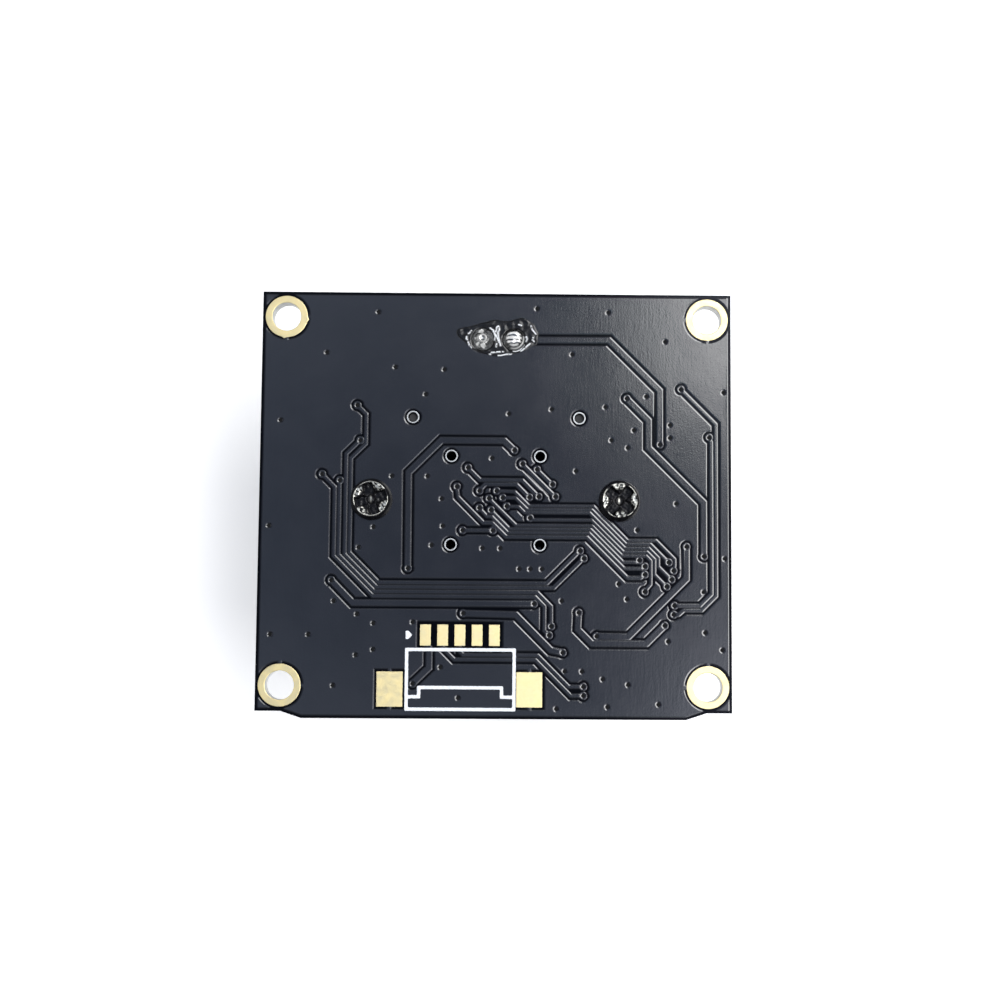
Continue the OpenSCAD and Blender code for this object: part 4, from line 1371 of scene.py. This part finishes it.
@dataclass
class FluxPool:
    """The dried flux round the joints, with pale wrinkles whose crests are painted highlights.

    Each wrinkle is a line of places on the board. They were chosen one by one, as such wrinkles follow no
    rule.
    """

    wrinkles: tuple[tuple[tuple[float, float], ...], ...] = (
        ((-1.89, 12.53), (-2.10, 12.33)),
        ((-2.24, 12.10), (-2.26, 11.92), (-2.18, 11.86)),
        ((-2.12, 11.70), (-2.06, 11.50), (-1.90, 11.27)),
        ((-0.51, 12.74), (-0.27, 12.58), (-0.14, 12.17), (-0.20, 11.86)),
        (
            (-0.10, 12.46), (-0.02, 12.82), (0.10, 12.90), (0.18, 12.66),
            (0.06, 12.41), (0.10, 12.10), (0.26, 11.43),
        ),
        ((-0.30, 12.50), (-0.08, 12.24), (0.02, 12.00), (0.14, 11.70)),
        ((-0.02, 11.60), (-0.06, 11.36)),
        ((-0.75, 10.70), (-0.47, 10.80)),
        ((-0.40, 10.92), (0.05, 10.97), (0.46, 10.99)),
        ((0.10, 10.70), (0.30, 10.70), (0.70, 10.80), (1.07, 10.80)),
        ((1.22, 11.05), (1.36, 11.02), (1.70, 11.14), (1.98, 11.50)),
        ((1.77, 11.02), (2.09, 11.31), (2.42, 11.60)),
        ((1.60, 13.02), (1.78, 12.96)),
        ((2.50, 12.94), (2.58, 12.66), (2.86, 12.33)),
        ((2.01, 12.05), (2.16, 12.12), (2.22, 11.95), (2.14, 11.78)),
        ((2.66, 12.06), (2.60, 11.90), (2.72, 11.78)),
    )
    width: float = 0.055
    lift: float = 0.05

    def build(self) -> None:
        """Lays the pool in place of the frame's film."""
        low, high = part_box("flux_residue")
        edge = Outline.of_cap("flux_residue").rounded(0.06, 4)
        edge = edge.roughened(lambda p: 0.02 * ripple(p, 0.8, 12) - 0.02)
        joints = Outline([self.pad("left"), self.pad("right")])
        x = np.arange(low.x / MM, high.x / MM, 0.035)
        y = np.arange(low.y / MM, high.y / MM, 0.035)
        grid = np.stack(np.meshgrid(x, y), axis=-1).reshape(-1, 2)
        grid = grid[(edge.depth(grid)[0] > 0.05) & (joints.depth(grid)[0] < -0.02)]
        film = Film(
            "flux_pool", [edge], low.z / MM, low.z / MM + 0.05, 0.10, self.relief, self.wear_and_painted_light, grid
        )
        settle(film.build(), [FLUX], "flux_residue")

    @staticmethod
    def pad(side: str) -> Points:
        """Circle round a joint.

        Args:
            side: Which joint, left or right.

        Returns:
            The points of the circle.
        """
        node = "solder_joint_" + side
        low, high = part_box(node)
        return middle_of(node) + (high.x - low.x) / 2 / MM * circle(40)

    def near(self, points: Points) -> Points:
        """Distance from the nearest wrinkle.

        Args:
            points: Points in the plane of the board.

        Returns:
            The distance of each point.
        """
        best = np.full(len(points), 9.0)
        for line in map(np.array, self.wrinkles):
            for start, end in zip(line[:-1], line[1:]):
                run = end - start
                share = np.clip((points - start) @ run / (run @ run), 0.0, 1.0)
                best = np.minimum(best, np.linalg.norm(points - start - share[:, None] * run, axis=1))
        return best

    def relief(self, points: Points) -> Points:
        """Wrinkles and swells of the pool."""
        crests = self.lift * np.exp(-((self.near(points) / self.width) ** 2))
        return crests + 0.012 * ripple(points, 0.8, 14)

    def wear_and_painted_light(self, points: Points) -> Points:
        """Painted highlights on the crests of the wrinkles, broken here and there."""
        share = np.exp(-((self.near(points) / self.width) ** 4))
        return share * smooth(1.3 + 1.1 * ripple(points, 0.3, 15))


@dataclass
class Lands:
    """Bare gold pads, with soft corners and a little ragged where the mask overlaps them.

    The anchor pads have a small spur at spur_x from the middle. The contact pads are torn beyond torn_x
    and above torn_y.
    """

    spur_x: float = 5.05
    torn_x: float = 0.75
    torn_y: float = -9.6

    def build(self) -> None:
        """Lays the connector pads and the anchor pads."""
        for node, name, slot in (
            ("connector_pads", "signal_lands", "pad_gold"), ("anchor_pads", "anchor_lands", "anchor_gold")
        ):
            low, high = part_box(node)
            outline = Outline.of_cap(node).outer().rounded(0.035, 2)
            edge = outline.roughened(lambda p, n=node: self.push(p, n))
            film = Film(name, [edge], low.z / MM, high.z / MM, 0.02)
            settle(film.build(), [GOLD], node)

    def push(self, points: Points, node: str) -> Points:
        """How far the rim of a pad is pushed out.

        Args:
            points: Points of the rims.
            node: The node that they belong to.

        Returns:
            The push, a little inwards on the whole.
        """
        push = -0.015 + 0.010 * ripple(points, 0.22, 21)
        if node == "anchor_pads":
            beside = np.abs(points[:, 0]) - self.spur_x
            return push + 0.10 * np.exp(-((beside / 0.07) ** 2))
        torn = smooth((points[:, 0] - self.torn_x) / 0.2) * smooth((points[:, 1] - self.torn_y) / 0.25)
        return push + torn * 0.03 * ripple(points, 0.16, 23)


@dataclass
class Legend:
    """The printed connector outline and the mark of pin one."""

    def build(self) -> None:
        """Prints both in place of the frame's solids."""
        self.print_line("connector_legend", "printed_outline", "legend_ink", 0.05, (0.008, 0.18, 31))
        self.print_line("pin_one_mark", "printed_mark", "mark_ink", 0.04, (0.01, 0.2, 33))

    @staticmethod
    def print_line(node: str, name: str, slot: str, step: float, waver: tuple[float, float, int]) -> None:
        """Prints one node.

        Args:
            node: The node.
            name: Name of the new piece.
            slot: Not used.
            step: Length of the runs that its corners are rounded with.
            waver: Height, length and seed of the waves along its edge.
        """
        low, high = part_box(node)
        amount, size, seed = waver
        edge = Outline.of_cap(node).rounded(step, 3).roughened(lambda p: amount * ripple(p, size, seed))
        film = Film(name, [edge], low.z / MM, high.z / MM, 0.03)
        settle(film.build(), [INK], node)


SOFT_EDGES: dict[str, float] = {
    "lens_mount": 0.09,
    "controller_body": 0.04,
    "flash_memory_body": 0.05,
    "regulator_bodies": 0.04,
    "crystal_base": 0.03,
    "crystal_lid": 0.05,
    "power_inductor": 0.08,
    "capacitor_bodies": 0.03,
    "resistor_bodies": 0.02,
    "chip_end_caps": 0.035,
    "connector_housing": 0.06,
    "connector_contacts": 0.02,
    "connector_anchor_tabs": 0.03,
    "flash_memory_leads": 0.015,
    "regulator_leads": 0.015,
    "microphone_can": 0.08,
    "image_sensor": 0.03,
}


@dataclass
class FrameNodes:
    """The solids of the frame that keep their own form."""

    finishes: dict[Finish, tuple[str, ...]] = field(default_factory=lambda: dict(NODES_OF_FINISH))
    soft_edges: dict[str, float] = field(default_factory=lambda: dict(SOFT_EDGES))

    def dress(self) -> None:
        """Gives every node of the frame its finish."""
        finish_of = {name: finish for finish, names in self.finishes.items() for name in names}
        for name, node in sorted(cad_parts.items()):
            finish = finish_of[name]
            node.data.materials.clear()
            node.data.materials.append(finish.material())
            if name in self.soft_edges:
                self.soften(node, self.soft_edges[name])
            LOG.info("%s: %s", name, finish.name)

    @staticmethod
    def soften(node: bpy.types.Object, width: float) -> None:
        """Breaks the sharp edges of a solid.

        Args:
            node: The solid.
            width: Width of the broken edge.
        """
        weld = node.modifiers.new("one_skin", "WELD")
        weld.merge_threshold = 0.001 * MM
        bevel = node.modifiers.new("broken_edges", "BEVEL")
        bevel.width = width * MM
        bevel.segments = 2
        bevel.limit_method = "ANGLE"
        bevel.angle_limit = math.radians(40.0)
        bevel.harden_normals = True
        normals = node.modifiers.new("even_shading", "WEIGHTED_NORMAL")
        normals.keep_sharp = True


@dataclass(frozen=True)
class Panel:
    """A panel of light on a ceiling one metre above the part, with soft borders.

    The borders are metres along the ceiling. Each fades over the width given by feather.
    """

    left: float
    right: float
    low: float
    high: float
    radiance: float
    feather: float = 0.05
    tint: Color = (1.0, 1.0, 1.0)


@dataclass
class Studio:
    """Camera, floor, ceiling panels and surroundings. Distances are in metres unless a name says otherwise.

    The room is the light where no panel is. The horizon and below are the light from low down all round,
    and from under the floor.
    """

    view_deg: float = 35.0
    camera_at: tuple[float, float, float] = (0.001857, -0.01026, 0.115476)
    camera_turn_deg: tuple[float, float, float] = (5.100, -0.723, 0.368)
    camera_shift: float = -0.04
    room: Color = (0.030, 0.036, 0.050)
    panels: tuple[Panel, ...] = (
        Panel(-0.28, 0.24, -0.20, 0.34, 0.25, 0.14, (0.80, 0.96, 1.36)),
        Panel(-0.40, 0.40, 0.20, 0.90, 0.30, 0.24, (0.9, 1.0, 1.2)),
        Panel(-0.40, 0.40, -0.60, -0.02, 0.20, 0.10, (0.9, 1.0, 1.2)),
        Panel(-0.40, -0.15, -0.20, 0.40, 0.12, 0.08, (0.8, 1.0, 1.3)),
        Panel(0.12, 0.45, -0.12, 0.60, 0.75, 0.16, (0.97, 0.99, 1.08)),
        Panel(0.10, 0.35, -0.60, 0.00, 1.10, 0.08, (0.97, 0.99, 1.08)),
        Panel(0.082, 0.25, 0.146, 0.36, 4.10, 0.026, (1.0, 1.0, 0.97)),
        Panel(0.250, 0.85, 0.240, 0.80, 7.50, 0.06),
        Panel(-0.85, -0.50, -0.20, 0.60, 0.20, 0.10, (0.80, 0.96, 1.36)),
        Panel(0.470, 0.85, -0.120, 0.240, 7.50, 0.10),
        Panel(0.330, 0.85, -0.550, -0.120, 7.50, 0.08),
        Panel(-2.40, -0.85, -1.20, 1.20, 1.30, 0.20),
    )
    horizon: float = 0.45
    below: float = 0.35
    floor_half_mm: float = 1500.0

    def camera(self) -> None:
        """Places the camera."""
        data = bpy.data.cameras.new("camera")
        data.angle = math.radians(self.view_deg)
        data.shift_x = self.camera_shift
        data.clip_start = 0.001
        data.clip_end = 20.0
        camera = bpy.data.objects.new("camera", data)
        camera.location = self.camera_at
        camera.rotation_euler = tuple(math.radians(a) for a in self.camera_turn_deg)
        bpy.context.scene.collection.objects.link(camera)
        bpy.context.scene.camera = camera

    def floor(self) -> None:
        """Lays the pale floor under the part. Its underside is clear, so the part shows from below."""
        low_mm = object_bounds()[0][2] / MM
        corners = [(-1.0, -1.0), (1.0, -1.0), (1.0, 1.0), (-1.0, 1.0)]
        places = np.array([(x * self.floor_half_mm, y * self.floor_half_mm, low_mm) for x, y in corners])
        floor = new_piece("floor", places, [(0, 1, 2, 3)])
        material = bpy.data.materials.new("pale_floor")
        material.use_nodes = True
        tree = material.node_tree
        seen = add_node(tree, "LightPath", {}, "Is Camera Ray")
        glow = add_node(tree, "Math", {0: seen, 1: 0.12, 2: 0.30}, operation="MULTIPLY_ADD")
        feeds = {
            "Base Color": grey(0.86),
            "Roughness": 0.8,
            "Emission Color": grey(1.0),
            "Emission Strength": glow,
        }
        shader = tree.nodes["Principled BSDF"]
        feed(tree, shader, feeds)
        behind = add_node(tree, "NewGeometry", {}, "Backfacing")
        clear = add_node(tree, "BsdfTransparent", {})
        mix = add_node(tree, "MixShader", {"Fac": behind, 1: shader.outputs["BSDF"], 2: clear})
        feed(tree, tree.nodes["Material Output"], {"Surface": mix})
        floor.data.materials.append(material)
        floor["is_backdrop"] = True

    def surroundings(self) -> None:
        """Sets the room with its panels, which the camera sees as white."""
        world = bpy.data.worlds.new("room")
        world.use_nodes = True
        tree = world.node_tree
        way = tree.nodes.new("ShaderNodeSeparateXYZ")
        feed(tree, way, {0: add_node(tree, "TexCoord", {}, "Generated")})
        up = way.outputs["Z"]
        height = add_node(tree, "Math", {0: up, 1: 0.05}, operation="MAXIMUM")
        x, y = (
            add_node(tree, "Math", {0: way.outputs[axis], 1: height}, operation="DIVIDE") for axis in "XY"
        )
        total: Socket | Color = self.room
        for panel in self.panels:
            share = self.fade(tree, x, panel.left, panel.feather, panel.radiance)
            share = self.fade(tree, x, panel.right, -panel.feather, share)
            share = self.fade(tree, y, panel.low, panel.feather, share)
            share = self.fade(tree, y, panel.high, -panel.feather, share)
            total = self.add(tree, total, share, panel.tint)
        total = self.add(tree, total, self.fade(tree, up, -0.1, -0.2, self.below), (1.0, 1.0, 1.0))
        total = self.add(tree, total, self.fade(tree, up, 0.5, -0.3, self.horizon), (0.97, 0.99, 1.05))
        seen = add_node(tree, "LightPath", {}, "Is Camera Ray")
        feeds = {"Factor": seen, "A": total, "B": grey(1.0)}
        light = add_node(tree, "Mix", feeds, "Result", data_type="RGBA")
        feed(tree, tree.nodes["Background"], {"Color": light})
        bpy.context.scene.world = world

    @staticmethod
    def fade(tree: Tree, value: Socket, border: float, width: float, full: float | Socket) -> Socket:
        """Soft border of a panel.

        Args:
            tree: The room's nodes.
            value: What the border is measured along.
            border: Middle of the border.
            width: Width of the fade. It is negative where the panel lies below the border.
            full: Value inside the border.

        Returns:
            The light that the border leaves.
        """
        feeds = {
            "Value": value,
            "From Min": border - abs(width) / 2,
            "From Max": border + abs(width) / 2,
            "To Min": full if width < 0 else 0.0,
            "To Max": 0.0 if width < 0 else full,
        }
        return add_node(tree, "MapRange", feeds, "Result", interpolation_type="SMOOTHSTEP")

    @staticmethod
    def add(tree: Tree, total: Socket | Color, share: Socket, tint: Color) -> Socket:
        """Adds tinted light to the total.

        Args:
            tree: The room's nodes.
            total: Light so far.
            share: Strength of the new light.
            tint: Its colour.

        Returns:
            The new total.
        """
        return add_node(tree, "VectorMath", {0: tint, 1: share, 2: total}, operation="MULTIPLY_ADD")

    def build(self) -> None:
        """Sets up the whole studio."""
        bpy.context.scene.view_settings.view_transform = "Standard"
        self.camera()
        self.floor()
        self.surroundings()
        LOG.info("studio ready")


def main() -> None:
    """Builds every sub-assembly in order."""
    logging.basicConfig(level=logging.INFO, format="%(name)s %(message)s")
    Studio().build()
    FrameNodes().dress()
    MaskRelief().build()
    Collars("mounting_hole_plating", (GOLD, BARREL), "gold_plating", 0.035, {2: (-8.0, -96.0)}).build()
    Collars("small_hole_plating", (PALE_GOLD, DARK_BARREL), "small_gold_plating", 0.012).build()
    Lands().build()
    Legend().build()
    Screws().build()
    Joints().build()
    FluxPool().build()


if __name__ == "__main__":
    main()
